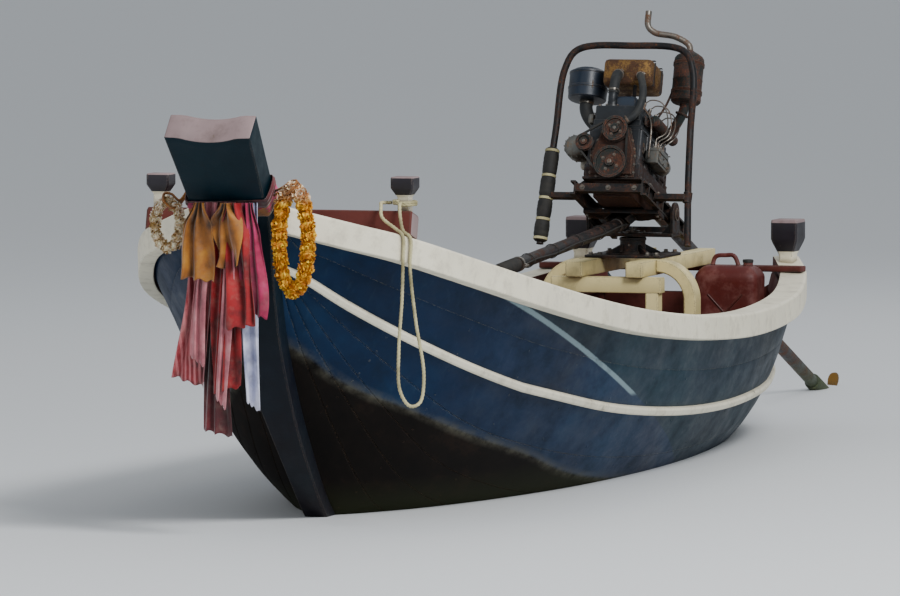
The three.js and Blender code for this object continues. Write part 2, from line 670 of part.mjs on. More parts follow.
// Starter and oil filter on the starboard side, injection pump and its governor to port
function blockFittings() {
  const [low, high] = [CRANK_Z + 20, CRANK_Z + 82];
  const starter = bar([BLOCK_BACK + 4, -182, low], [BLOCK_BACK + 190, -182, low], 44, 44, 18);
  const solenoid = bar([BLOCK_BACK + 14, -190, high], [BLOCK_BACK + 120, -190, high], 24, 24, 14);
  const saddle = box(BLOCK_BACK + 20, -200, CRANK_Z - 10, BLOCK_BACK + 60, -140, CRANK_Z + 95);
  const filter = bar([240, -172, CRANK_Z + 25], [240, -172, CRANK_Z + 135], 42, 42, 18);
  const filterSeat = box(205, -190, CRANK_Z + 130, 275, -120, CRANK_Z + 165);
  const pump = box(150, 125, CRANK_Z + 40, 330, 200, CRANK_Z + 120);
  const governor = bar([155, 165, CRANK_Z + 75], [95, 165, CRANK_Z + 75], 44, 38, 18);
  const outlets = range(175, 305, 4).map((x) =>
    bar([x, 172, CRANK_Z + 115], [x, 172, CRANK_Z + 148], 11, 9, 8),
  );
  return [starter, solenoid, saddle, filter, filterSeat, pump, governor, ...outlets];
}
add("engine_block", engineBlock(), "steel", engine);
const HEAD_HALF = 118;
const COVER_TOP = BLOCK_TOP + 160;
function cylinderHead() {
  const low = BLOCK_TOP + GAP;
  const head = box(BLOCK_BACK + 5, -HEAD_HALF, low, BLOCK_FRONT - 5, HEAD_HALF, low + 100);
  const cover = loft([
    [-74, 92, low + 98],
    [-74, 92, low + 140],
    [-52, 70, COVER_TOP],
  ].map(([y0, y1, z]) => [
    new THREE.Vector3(BLOCK_BACK + 25, y0, z),
    new THREE.Vector3(BLOCK_FRONT - 25, y0, z),
    new THREE.Vector3(BLOCK_FRONT - 25, y1, z),
    new THREE.Vector3(BLOCK_BACK + 25, y1, z),
  ]));
  const cap = bar([40, 10, COVER_TOP - 5], [40, 10, COVER_TOP + 26], 28, 28, 14);
  const outlet = bentTube(
    [
      [BLOCK_FRONT - 40, -40, low + 90],
      [BLOCK_FRONT - 30, -40, low + 150],
      [BLOCK_FRONT - 45, -40, low + 215],
    ],
    24, 10, 8,
  );
  return join(head, cover, cap, outlet);
}
add("cylinder_head", cylinderHead(), "steel", engine);
const SHAFT_HEAD = -260;
function bellHousing() {
  const drum = bar([BLOCK_BACK - GAP, 0, CRANK_Z], [BLOCK_BACK - 100, 0, CRANK_Z], 135, 118, 28);
  const neck = bar([BLOCK_BACK - 98, 0, CRANK_Z], [SHAFT_HEAD, 0, CRANK_Z], 62, 52, 20);
  return join(drum, neck);
}
add("bell_housing", bellHousing(), "rust", engine);

// Front drive: timing cover, three pulleys and the belt around them
const PULLEYS = [
  // y, z above the crank, radius
  [0, 0, 80],
  [10, 168, 62],
  [-138, 100, 42],
];
function frontDrive() {
  const cover = box(BLOCK_FRONT + GAP, -112, CRANK_Z - 62, BLOCK_FRONT + 24, 112, CRANK_Z + 185);
  const wheels = PULLEYS.map(([y, z, r]) =>
    join(
      bar([BLOCK_FRONT + 10, y, CRANK_Z + z], [BLOCK_FRONT + 66, y, CRANK_Z + z], r * 0.45, r * 0.45, 16),
      bar([BLOCK_FRONT + 34, y, CRANK_Z + z], [BLOCK_FRONT + 62, y, CRANK_Z + z], r, r, 28),
    ),
  );
  const belts = PULLEYS.map(([y0, z0, r0], i) => {
    const [y1, z1, r1] = PULLEYS[(i + 1) % PULLEYS.length];
    const away = Math.atan2(z1 - z0, y1 - y0);
    const lean = Math.acos((r0 - r1) / Math.hypot(y1 - y0, z1 - z0));
    const outerSide = away - lean;
    const touch = (y, z, r) => [
      y + (r + 2) * Math.cos(outerSide),
      CRANK_Z + z + (r + 2) * Math.sin(outerSide),
    ];
    const [ya, za] = touch(y0, z0, r0);
    const [yb, zb] = touch(y1, z1, r1);
    const [ny, nz] = [Math.cos(outerSide) * 5, Math.sin(outerSide) * 5];
    return loft([BLOCK_FRONT + 41, BLOCK_FRONT + 55].map((x) => [
      new THREE.Vector3(x, ya - ny, za - nz),
      new THREE.Vector3(x, yb - ny, zb - nz),
      new THREE.Vector3(x, yb + ny, zb + nz),
      new THREE.Vector3(x, ya + ny, za + nz),
    ]));
  });
  return join(cover, ...wheels, ...belts);
}
add("front_drive", frontDrive(), "rust", engine);
function alternator() {
  const [y, z] = [PULLEYS[2][0], CRANK_Z + PULLEYS[2][1]];
  const drum = bar([BLOCK_FRONT - 130, y - 66, z], [BLOCK_FRONT - 10, y - 66, z], 58, 58, 20);
  return join(drum, box(BLOCK_FRONT - 100, -190, z - 18, BLOCK_FRONT - 60, -130 - GAP, z + 18));
}
add("alternator", cut(alternator(), engineBlock().scale([1, 1.004, 1])), "steel", engine);

// Exhaust on the port side with its upright silencer, and the thin pipe that stands up amidships
function exhaust() {
  const z = BLOCK_TOP + 45;
  const log = bar([0, 168, z], [350, 168, z], 26, 26, 12);
  const ports = range(20, 330, 4).map((x) => box(x - 22, HEAD_HALF + GAP, z - 20, x + 22, 172, z + 20));
  const upright = 236;
  const riser = bentTube(
    [[80, 168, z], [80, 200, z + 60], [80, 226, z + 120], [80, upright, z + 180]],
    24,
  );
  const silencer = bar([80, upright, z + 165], [80, upright, z + 405], 74, 74, 24);
  const cone = bar([80, upright, z + 403], [80, upright, z + 430], 72, 26, 24);
  const tail = bentTube(
    [
      [80, upright, z + 410],
      [84, upright - 8, z + 462],
      [100, 160, z + 500],
      [118, 60, z + 515],
      [126, 26, z + 545],
      [128, 22, z + 620],
    ],
    16, 10, 24,
  );
  return join(log, ...ports, riser, silencer, cone, tail);
}
add("exhaust", cut(exhaust(), cylinderHead().scale([1, 1.004, 1])), "rust", engine);
function airCleaner() {
  const z = BLOCK_TOP + 50;
  const runner = box(-20, -165, z - 24, 360, -HEAD_HALF - GAP, z + 24);
  const out = -244;
  const elbow = bentTube(
    [[140, -148, z], [140, -216, z + 55], [140, out, z + 110], [140, out, z + 165]],
    34,
  );
  const drum = bar([140, out, z + 155], [140, out, z + 290], 98, 98, 26);
  const lid = bar([140, out, z + 285], [140, out, z + 312], 80, 40, 24);
  return join(runner, elbow, drum, lid);
}
add("air_cleaner", cut(airCleaner(), cylinderHead().scale([1, 1.004, 1])), "tip", engine);
function headerTank() {
  const low = COVER_TOP + 75;
  const tank = loft([
    [10, low],
    [0, low + 12],
    [0, low + 118],
    [14, low + 132],
  ].map(([inset, z]) => [
    new THREE.Vector3(95 + inset, -122 + inset, z),
    new THREE.Vector3(322 - inset, -122 + inset, z),
    new THREE.Vector3(322 - inset, 122 - inset, z),
    new THREE.Vector3(95 + inset, 122 - inset, z),
  ]));
  const legs = [[120, -40], [300, 40], [120, 40]].map(([x, y]) =>
    bar([x, y, COVER_TOP + 0.6], [x, y, low + 20], 9, 9, 8),
  );
  const filler = bar([160, 0, low + 126], [160, 0, low + 162], 32, 32, 16);
  return join(tank, filler, ...legs);
}
add("header_tank", headerTank(), "brass", engine);

// Pipe hoop around the engine, footed on the cradle rails, with a padded sleeve on its starboard leg
const HOOP_X = 300;
function guardHoop() {
  const foot = CRADLE_Y + 26 + GAP;
  const side = (s) => [
    [HOOP_X - 22, s * 370, -235],
    [HOOP_X, s * 352, 60],
    [HOOP_X, s * 338, 330],
    [HOOP_X, s * 322, 640],
    [HOOP_X, s * 268, 738],
  ];
  const hoop = bentTube([...side(1), [HOOP_X, 0, 762], ...side(-1).toReversed()], 17, 8, 30);
  const lugs = [-1, 1].map((s) => sideBox(s, [HOOP_X - 25, foot, -14], [HOOP_X + 25, 366, 14]));
  const sleeve = bentTube(
    [[HOOP_X - 20, -370, -225], [HOOP_X, -354, 20], [HOOP_X, -345, 240]],
    38, 10, 8,
  );
  return join(hoop, ...lugs, sleeve);
}
add("guard_hoop", guardHoop(), "steel", engine);

// Tiller, from a plate under the cradle to the driver's hand
function tiller() {
  const plateTop = -34 - GAP;
  const root = new THREE.Vector3(120, 0, plateTop - 42);
  const tip = new THREE.Vector3(...inEngine(-250, 0, 925));
  const plate = box(100, -190, plateTop - 22, 210, 190, plateTop);
  const pipe = bar(root.toArray(), tip.toArray(), 30, 30, 12);
  const grip = bar(root.clone().lerp(tip, 0.88).toArray(), tip.toArray(), 36, 36, 14);
  return join(plate, pipe, grip);
}
add("tiller", tiller(), "steel", engine);

// Shaft tube with its stay, tail bearing and skeg
const TAIL = -3790;
function shaftTube() {
  const tube = bar([SHAFT_HEAD - GAP, 0, CRANK_Z], [TAIL, 0, CRANK_Z], 32, 32, 16);
  const flange = bar([SHAFT_HEAD - GAP, 0, CRANK_Z], [SHAFT_HEAD - 18, 0, CRANK_Z], 60, 60, 20);
  return join(tube, flange);
}
add("shaft_tube", shaftTube(), "steel", engine);
function tailBearing() {
  const sleeve = cut(
    bar([TAIL + 260, 0, CRANK_Z], [TAIL - 60, 0, CRANK_Z], 42, 42, 20),
    bar([TAIL + 270, 0, CRANK_Z], [TAIL - GAP, 0, CRANK_Z], 32 + GAP, 32 + GAP, 16),
    bar([TAIL - 100, 0, CRANK_Z], [TAIL + 10, 0, CRANK_Z], 20, 20, 20),
  );
  const skeg = loft([-5, 5].map((y) => [
    new THREE.Vector3(TAIL + 240, y, CRANK_Z - 38),
    new THREE.Vector3(TAIL - 30, y, CRANK_Z - 38),
    new THREE.Vector3(TAIL - 120, y, CRANK_Z - 190),
    new THREE.Vector3(TAIL - 60, y, CRANK_Z - 200),
  ]));
  return join(sleeve, skeg);
}
add("tail_bearing", tailBearing(), "steel", engine);
const PROP_X = TAIL - 150;
function propeller() {
  const hub = join(
    bar([PROP_X + 50, 0, CRANK_Z], [PROP_X - 60, 0, CRANK_Z], 34, 28, 20),
    bar([PROP_X - 58, 0, CRANK_Z], [PROP_X - 95, 0, CRANK_Z], 28, 10, 20),
    bar([PROP_X + 40, 0, CRANK_Z], [TAIL - 30, 0, CRANK_Z], 16, 16, 16),
  );
  // Columns: radius, chord, pitch angle in degrees
  const blade = [
    [20, 54, 62],
    [60, 78, 48],
    [105, 88, 34],
    [140, 70, 27],
    [158, 26, 24],
  ];
  const blades = [0, 120, 240].map((turn) => {
    const rings = blade.map(([radius, chord, pitch]) => {
      const angle = THREE.MathUtils.degToRad(pitch);
      return [[1, 0], [0, 3.5], [-1, 0], [0, -3.5]].map(([along, thick]) => {
        const a = (along * chord) / 2;
        return new THREE.Vector3(
          PROP_X + a * Math.sin(angle) + thick * Math.cos(angle),
          a * Math.cos(angle) - thick * Math.sin(angle),
          radius,
        ).sub(new THREE.Vector3(PROP_X, 0, 0));
      });
    });
    return loft(rings).rotate([turn, 0, 0]).translate([PROP_X, 0, CRANK_Z]);
  });
  return join(hub, ...blades);
}
add("propeller", propeller(), "brass", engine);

// Offerings on the stem: a cloth tied round the neck with ribbons hanging ahead of it, and two garlands
const WRAP = [0, 0.12]; // place of the cloth between the stem rows at the sheer and the head
function stemCloth() {
  const between = (f) => STEM[6].map((v, k) => v + (HEAD[k] - v) * f);
  const rows = WRAP.map(between);
  const band = cut(spine(rows, 24), spine(STEM, GAP));
  // Columns: z, x, half width, half thickness
  const fall = [
    [1405, 3812, 90, 22],
    [1340, 3826, 120, 42],
    [1180, 3816, 140, 50],
    [980, 3800, 165, 52],
    [720, 3795, 195, 50],
    [430, 3792, 160, 38],
  ];
  const hanging = loft(
    fall.map(([z, x, half, thick]) =>
      range(0, 2 * Math.PI, 17)
        .slice(0, 16)
        .map((a) => new THREE.Vector3(x + thick * Math.cos(a), half * Math.sin(a), z)),
    ),
  );
  return cut(join(band, hanging), spine(STEM, GAP));
}
add("stem_cloth", stemCloth(), "red");
function garland(x, y, top, width, height, radius) {
  const ring = range(0, 2 * Math.PI, 25).slice(0, 24);
  const path = ring.map((a) => [
    x,
    y + (width / 2) * Math.sin(a),
    top - height / 2 + (height / 2) * Math.cos(a),
  ]);
  const around = (i) => {
    const centre = new THREE.Vector3(...path[i]);
    const before = new THREE.Vector3(...path[(i + 23) % 24]);
    const after = new THREE.Vector3(...path[(i + 1) % 24]);
    const along = after.sub(before);
    const out = along.cross(new THREE.Vector3(1, 0, 0)).normalize();
    return range(0, 2 * Math.PI, 11).slice(0, 10).map((a) =>
      centre.clone().addScaledVector(out, radius * Math.cos(a)).setX(x + radius * Math.sin(a)),
    );
  };
  return closedLoft(path.map((_, i) => around(i)));
}
add("garland_yellow", garland(3745, 284, 1500, 130, 440, 30), "yellow");
add("garland_white", garland(3745, -280, 1438, 115, 200, 26), "white");

// Rope hitched to the port bow post, with a bight hanging over the side
const ROPE = 8;
const HITCH_RADIUS = 56;
function ropePath() {
  const rail = (x) => skin(sectionAt(x), 1);
  const over = (x, outwards, up) => {
    const at = rail(x);
    return [x, at.y + outwards, at.z + up];
  };
  const top = RAIL_TOP + ROPE + 4;
  const hitch = bowPostFoot.z + 45;
  return [
    [bowPostFoot.x + HITCH_RADIUS + 4, BOW_POST_Y, hitch],
    [3104, 558, hitch - 4],
    [3126, 566, hitch - 46],
    over(3134, RAIL_OUT - 18, top + 6),
    over(3136, RAIL_OUT + 15, top - 22),
    over(3138, RAIL_OUT + 16, -110),
    over(3124, RAIL_OUT + 30, -330),
    over(3100, RAIL_OUT + 48, -560),
    over(3112, RAIL_OUT + 40, -680),
    over(3160, RAIL_OUT + 34, -706),
    over(3206, RAIL_OUT + 30, -650),
    over(3208, RAIL_OUT + 26, -480),
    over(3186, RAIL_OUT + 20, -260),
    over(3176, RAIL_OUT + 16, -100),
    over(3176, RAIL_OUT + 15, top - 22),
    over(3174, RAIL_OUT - 18, top + 6),
    [3150, 492, hitch - 56],
    [3118, 478, hitch - 8],
    [3060, 462, hitch],
    [3020, 472, hitch],
    [bowPostFoot.x, BOW_POST_Y - HITCH_RADIUS - 4, hitch],
  ];
}
add("rope_loop", bentTube(ropePath(), ROPE, 8, 72), "rope");
function ropeHitch() {
  const profile = [[40, 0], [HITCH_RADIUS, 0], [HITCH_RADIUS, 34], [40, 34], [40, 0]];
  const points = profile.map(([r, z]) => new THREE.Vector2(r, z));
  const lathe = new THREE.LatheGeometry(points, 24).rotateX(Math.PI / 2);
  return solid(lathe).translate([bowPostFoot.x, BOW_POST_Y, bowPostFoot.z + 28]);
}
add("rope_hitch", ropeHitch(), "rope");

// Fuel can on the port quarter
function fuelCan() {
  const [x, y] = [-3010, 348];
  const low = STERN_DECK_TOP + GAP;
  const body = box(x - 100, y - 160, low, x + 100, y + 160, low + 370);
  const level = (halfX, halfY, z) =>
    [[-1, -1], [1, -1], [1, 1], [-1, 1]].map(
      ([a, b]) => new THREE.Vector3(x + a * halfX, y + b * halfY, low + z),
    );
  const shoulder = loft([level(100, 160, 369), level(60, 120, 410)]);
  const handle = bentTube(
    [[x, y - 90, low + 400], [x, y - 70, low + 455], [x, y + 30, low + 455], [x, y + 50, low + 400]],
    12, 8, 16,
  );
  const spout = bar([x, y + 92, low + 395], [x, y + 92, low + 440], 25, 25, 14);
  return join(body, shoulder, handle, spout);
}
add("fuel_can", fuelCan(), "can");

export default group;
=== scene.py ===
import math
import random
from math import cos, pi, radians, sin, sqrt, tau

import bmesh
import bpy
from mathutils import Matrix, Vector
from mathutils.geometry import convex_hull_2d


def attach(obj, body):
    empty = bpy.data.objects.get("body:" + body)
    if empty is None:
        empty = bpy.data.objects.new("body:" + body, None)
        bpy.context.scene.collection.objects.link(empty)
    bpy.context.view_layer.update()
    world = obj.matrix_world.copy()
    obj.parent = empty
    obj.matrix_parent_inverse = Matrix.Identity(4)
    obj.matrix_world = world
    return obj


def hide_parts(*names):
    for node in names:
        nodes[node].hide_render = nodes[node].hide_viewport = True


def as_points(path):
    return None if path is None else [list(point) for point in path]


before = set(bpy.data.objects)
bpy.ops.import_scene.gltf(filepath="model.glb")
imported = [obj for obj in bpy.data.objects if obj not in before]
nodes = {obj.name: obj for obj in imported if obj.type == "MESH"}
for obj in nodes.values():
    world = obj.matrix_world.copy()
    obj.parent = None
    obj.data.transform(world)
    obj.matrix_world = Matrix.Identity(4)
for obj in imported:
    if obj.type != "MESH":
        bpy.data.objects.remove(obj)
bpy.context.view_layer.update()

scene = bpy.context.scene

# Camera: where the photograph was taken from, with a long lens on the boat
CAMERA_AT = Vector((44.67, 13.48, 3.60))
CAMERA_AIM = Vector((0.93, 0.12, 0.87))
LENS = 405.0


def place_camera():
    data = bpy.data.cameras.new("long lens")
    data.lens = LENS
    data.sensor_width = 36.0
    data.clip_end = 300.0
    camera = bpy.data.objects.new("camera", data)
    camera.location = CAMERA_AT
    camera.rotation_euler = (CAMERA_AIM - CAMERA_AT).to_track_quat("-Z", "Y").to_euler()
    scene.collection.objects.link(camera)
    scene.camera = camera


place_camera()

# Hull sections from the stem head to the transom, in millimetres
HULL = [
    # keel x, y, z; bilge x, y, z; sheer x, y, z
    (3560, 150, 1290, 3580, 160, 1335, 3600, 166, 1385),
    (3420, 112, 1035, 3400, 235, 1120, 3350, 405, 1300),
    (3210, 82, 765, 3160, 305, 865, 3100, 572, 1230),
    (2850, 58, 378, 2710, 405, 515, 2600, 752, 1102),
    (2390, 45, -20, 2210, 520, 235, 2100, 856, 994),
    (1700, 40, -225, 1500, 640, 45, 1400, 930, 874),
    (700, 40, -288, 630, 740, -90, 600, 958, 774),
    (-400, 40, -300, -400, 770, -145, -400, 948, 694),
    (-1400, 40, -282, -1400, 735, -135, -1400, 900, 656),
    (-2400, 40, -222, -2400, 625, -85, -2400, 806, 674),
    (-3140, 40, -128, -3150, 480, 0, -3180, 645, 732),
    (-3450, 40, -60, -3459, 365, 65, -3560, 505, 795),
]
LAST = len(HULL) - 1
PLANK = 0.028
RAIL_OUT = 0.045
RAIL_IN = -0.088
RAIL_TOP = 0.036
RAIL_UNDER = -0.014
# Hairline between parts that meet, the levels of the floor, the stern deck and the bearers, and cloth
GAP = 0.0004
FLOOR_TOP, FLOOR_THICK, DECK_THICK = -0.04, 0.022, 0.024
STERN_DECK_TOP, BEARER_UNDER, BEARER_TOP = 0.4, 0.8, 0.875
CLOTH_THICK, BAND_THICK = 0.0014, 0.0022
# Where the ribs stand, from the stern to the bow
RIB_XS = [-3.05, -2.5, -1.95, -1.4, -0.85, -0.3, 0.25, 0.8, 1.35, 1.9]

# Engine frame: tilted about the pivot, its X up along the shaft
PIVOT = Vector((-2.5, 0, 1.08))
SHAFT_FALL = radians(19)
CRANK_Z = 0.125
ENGINE = Matrix.Translation(PIVOT) @ Matrix.Rotation(-SHAFT_FALL, 4, "Y")

AHEAD, AFT, UP = (1, 0, 0), (-1, 0, 0), (0, 0, 1)
SIDES = ((1, "port"), (-1, "starboard"))


def spaced(first, last, count):
    return [first + (last - first) * i / (count - 1) for i in range(count)]


def rgb(code):
    """Linear colour of a hexadecimal sRGB code; a colour that is linear already passes through."""
    if not isinstance(code, str):
        return code
    parts = [int(code[i:i + 2], 16) / 255 for i in (0, 2, 4)]
    return tuple(c / 12.92 if c <= 0.04045 else ((c + 0.055) / 1.055) ** 2.4 for c in parts) + (1.0,)


def scaled(colour, by, more=0.0):
    return tuple(min(1, c * by + more) for c in rgb(colour)[:3]) + (1,)


def feed(tree, socket, value):
    """Links the socket where the value is another node's output, or else sets it."""
    if isinstance(value, bpy.types.NodeSocket):
        tree.links.new(value, socket)
    else:
        socket.default_value = rgb(value) if socket.type == "RGBA" else value


def add_node(tree, kind, inputs=None, **settings):
    made = tree.nodes.new(kind)
    for key, value in settings.items():
        setattr(made, key, value)
    for key, value in (inputs or {}).items():
        feed(tree, made.inputs[key], value)
    return made


# Hull surface of the port side
def between(table, at, column):
    """Three columns of a table in millimetres, read smoothly between its rows, in metres."""
    last = len(table) - 1
    i = max(0, min(math.floor(at), last - 1))
    f = at - i
    a, b, c, d = (Vector(table[max(0, min(last, k))][column:column + 3]) for k in range(i - 1, i + 3))
    return (b + 0.5 * f * (c - a + f * (2 * a - 5 * b + 4 * c - d + f * (3 * (b - c) + d - a)))) / 1000


def skin(u, t):
    """A point of the side: u runs aft along the sections, t up from keel to sheer."""
    keel, bilge, sheer = (between(HULL, u, column) for column in (0, 3, 6))
    low = keel.lerp(bilge, 0.8)
    high = sheer.lerp(bilge, 0.75)
    s = 1 - t
    return keel * s**3 + low * (3 * s * s * t) + high * (3 * s * t * t) + sheer * t**3


def outward(u, t):
    step = 1e-3
    along = skin(u + step, t) - skin(u - step, t)
    up = skin(u, t + step) - skin(u, t - step)
    return along.cross(up).normalized()


def hull_point(u, t, offset=0.0):
    return skin(u, t) + outward(u, t) * offset


def girth(u):
    return (skin(u, 0) - skin(u, 0.5)).length + (skin(u, 0.5) - skin(u, 1)).length


def section_at(x, t=1.0):
    low, high = 0.0, float(LAST)
    for _ in range(30):
        middle = (low + high) / 2
        if skin(middle, t).x > x:
            low = middle
        else:
            high = middle
    return low


def rubbing_seam(u):
    drop = 0.235 + 0.13 * min(1.0, u / 4.5)
    return max(0.06, 1 - drop / girth(u))


def bilge_seam(u):
    return min(0.4, 0.55 * rubbing_seam(u))


# Smooth curve through points, at even steps of its length
def smooth_path(points, count, closed=False):
    points = [Vector(p) for p in points]
    n = len(points)

    def pick(k):
        if closed:
            return points[k % n]
        if k < 0:
            return 2 * points[0] - points[1]
        return points[k] if k < n else 2 * points[-1] - points[-2]

    dense = []
    for i in range(n if closed else n - 1):
        a, b, c, d = (pick(k) for k in range(i - 1, i + 3))
        u, v, w = (max(1e-4, sqrt((q - p).length)) for p, q in ((a, b), (b, c), (c, d)))
        leave = ((b - a) / u - (c - a) / (u + v) + (c - b) / v) * v
        arrive = ((c - b) / v - (d - b) / (v + w) + (d - c) / w) * v
        for k in range(24):
            f = k / 24
            second, third = 3 * (c - b) - 2 * leave - arrive, 2 * (b - c) + leave + arrive
            dense.append(b + f * leave + f * f * second + f**3 * third)
    dense.append(points[0 if closed else -1])
    lengths = [0.0]
    for p, q in zip(dense, dense[1:]):
        lengths.append(lengths[-1] + (q - p).length)
    out, k = [], 0
    for want in spaced(0, lengths[-1], count):
        while k < len(dense) - 2 and lengths[k + 1] < want:
            k += 1
        share = (want - lengths[k]) / max(1e-9, lengths[k + 1] - lengths[k])
        out.append(dense[k].lerp(dense[k + 1], min(1.0, max(0.0, share))))
    return out


def on_side(points, side):
    return [(p.x, side * p.y, p.z) for p in points]


def cut_corners(x0, x1, y0, y1, c):
    """The outline of an oblong with its corners cut."""
    return [
        (x0 + c, y0), (x1 - c, y0), (x1, y0 + c), (x1, y1 - c),
        (x1 - c, y1), (x0 + c, y1), (x0, y1 - c), (x0, y0 + c),
    ]


def spokes(axis, count, start=0.0):
    """Directions spread evenly round an axis."""
    side = axis.orthogonal().normalized()
    up = axis.cross(side)
    return [side * cos(a) + up * sin(a) for a in (start + tau * k / count for k in range(count))]


def carried(path, closed=False):
    """Each point of a path with two directions across it, carried along without a twist."""
    side = None
    for i, p in enumerate(path):
        ahead = path[(i + 1) % len(path)] if closed else path[min(i + 1, len(path) - 1)]
        along = (ahead - path[i - 1 if closed else max(0, i - 1)]).normalized()
        if side is None:
            side = along.orthogonal().normalized()
        side = (side - along * side.dot(along)).normalized()
        yield p, side, along.cross(side)


def outwards(mesh, weld=False):
    """Points the faces outwards, and merges doubled corners first where weld is set."""
    tidy = bmesh.new()
    tidy.from_mesh(mesh)
    if weld:
        bmesh.ops.remove_doubles(tidy, verts=tidy.verts, dist=1e-5)
    bmesh.ops.recalc_face_normals(tidy, faces=tidy.faces)
    tidy.to_mesh(mesh)
    tidy.free()


def ease_edges(obj, width, angle=35, harden=True):
    eased = obj.modifiers.new("eased edges", "BEVEL")
    eased.width, eased.segments, eased.limit_method = width, 2, "ANGLE"
    eased.angle_limit = radians(angle)
    eased.harden_normals = harden


def hand_over(obj, body, slot, replaces):
    if replaces:
        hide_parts(*replaces)
    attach(obj, body)
    return obj


class Shape:
    """Vertices and faces of one piece that rides on a body; each face keeps the number of its finish."""

    def __init__(self, body="hull", place=None):
        self.body = body
        self.place = place or (ENGINE if body in ("engine", "screw") else Matrix.Identity(4))
        self.verts, self.faces, self.finishes = [], [], []

    def add(self, verts, faces, finish=0):
        start = len(self.verts)
        self.verts += [self.place @ Vector(v) for v in verts]
        self.faces += [tuple(start + i for i in face) for face in faces]
        self.finishes += [finish] * len(faces)
        return self

    def loft(self, rings, finish=0, caps=True, closed=False):
        """Skins rings of the same number of points, one after the other."""
        n = len(rings[0])
        rows = len(rings)
        faces = []
        for i in range(rows if closed else rows - 1):
            j = (i + 1) % rows
            for k in range(n):
                m = (k + 1) % n
                faces.append((i * n + k, i * n + m, j * n + m, j * n + k))
        if caps and not closed:
            faces.append(tuple(reversed(range(n))))
            faces.append(tuple((rows - 1) * n + k for k in range(n)))
        return self.add([p for ring in rings for p in ring], faces, finish)

    def slab(self, low, high, round_edge=0.003, finish=0):
        """A block between two opposite corners, its edges eased."""
        low, high = (Vector([pick(pair) for pair in zip(low, high)]) for pick in (min, max))
        e = min(round_edge, 0.45 * min(high - low))
        rings = []
        steps = [(0.0, e), (e * 0.3, e * 0.3), (e, 0.0)]
        for rise, inset in steps + [(high.z - low.z - r, i) for r, i in reversed(steps)]:
            outline = cut_corners(
                low.x + inset, high.x - inset, low.y + inset, high.y - inset, max(e - inset, e * 0.25),
            )
            rings.append([(x, y, low.z + rise) for x, y in outline])
        return self.loft(rings, finish)

    def tube(self, path, radius, sides=12, finish=0, closed=False):
        """A round tube along points; radius is one number or one for each point."""
        path = [Vector(p) for p in path]
        radii = radius if isinstance(radius, (list, tuple)) else [radius] * len(path)
        angles = [tau * k / sides for k in range(sides)]
        rings = [
            [p + (side * cos(a) + up * sin(a)) * r for a in angles]
            for r, (p, side, up) in zip(radii, carried(path, closed))
        ]
        return self.loft(rings, finish, closed=closed)

    def turned(self, profile, at, axis, sides=28, finish=0):
        """A solid of revolution whose profile is in millimetres."""
        metres = [(along / 1000, radius / 1000) for along, radius in profile]
        return self.lathed(metres, at, axis, sides, finish)

    def lathed(self, profile, at, axis, sides=28, finish=0):
        """A closed solid of revolution: the profile is (distance along the axis, radius)."""
        at, axis = Vector(at), Vector(axis).normalized()
        ways = spokes(axis, sides)
        rings = [[at + axis * along + way * max(radius, 1e-5) for way in ways] for along, radius in profile]
        return self.loft(rings, finish)

    def hexagon(self, at, axis, across, tall, finish=0):
        half = across / 2
        return self.lathed(
            [(0, half), (tall * 0.8, half), (tall, half * 0.82)], at, axis, sides=6, finish=finish,
        )

    def bolts(self, spots, axis, across=0.017, finish=0):
        for spot in spots:
            self.lathed([(0, across * 0.85), (across * 0.14, across * 0.85)], spot, axis, 12, finish)
            head_at = Vector(spot) + Vector(axis).normalized() * across * 0.1
            self.hexagon(head_at, axis, across, across * 0.6, finish)
        return self

    def made(self, name, finishes, slot, replaces=(), smooth_angle=38, bevel=None):
        mesh = bpy.data.meshes.new(name)
        mesh.from_pydata(self.verts, [], self.faces)
        finishes = finishes if isinstance(finishes, (list, tuple)) else [finishes]
        for finish in finishes:
            mesh.materials.append(finish)
        mesh.polygons.foreach_set("material_index", self.finishes)
        outwards(mesh)
        mesh.shade_smooth()
        if smooth_angle < 180:
            mesh.set_sharp_from_angle(angle=radians(smooth_angle))
        obj = bpy.data.objects.new(name, mesh)
        scene.collection.objects.link(obj)
        if bevel:
            ease_edges(obj, bevel)
        return hand_over(obj, self.body, slot, replaces)


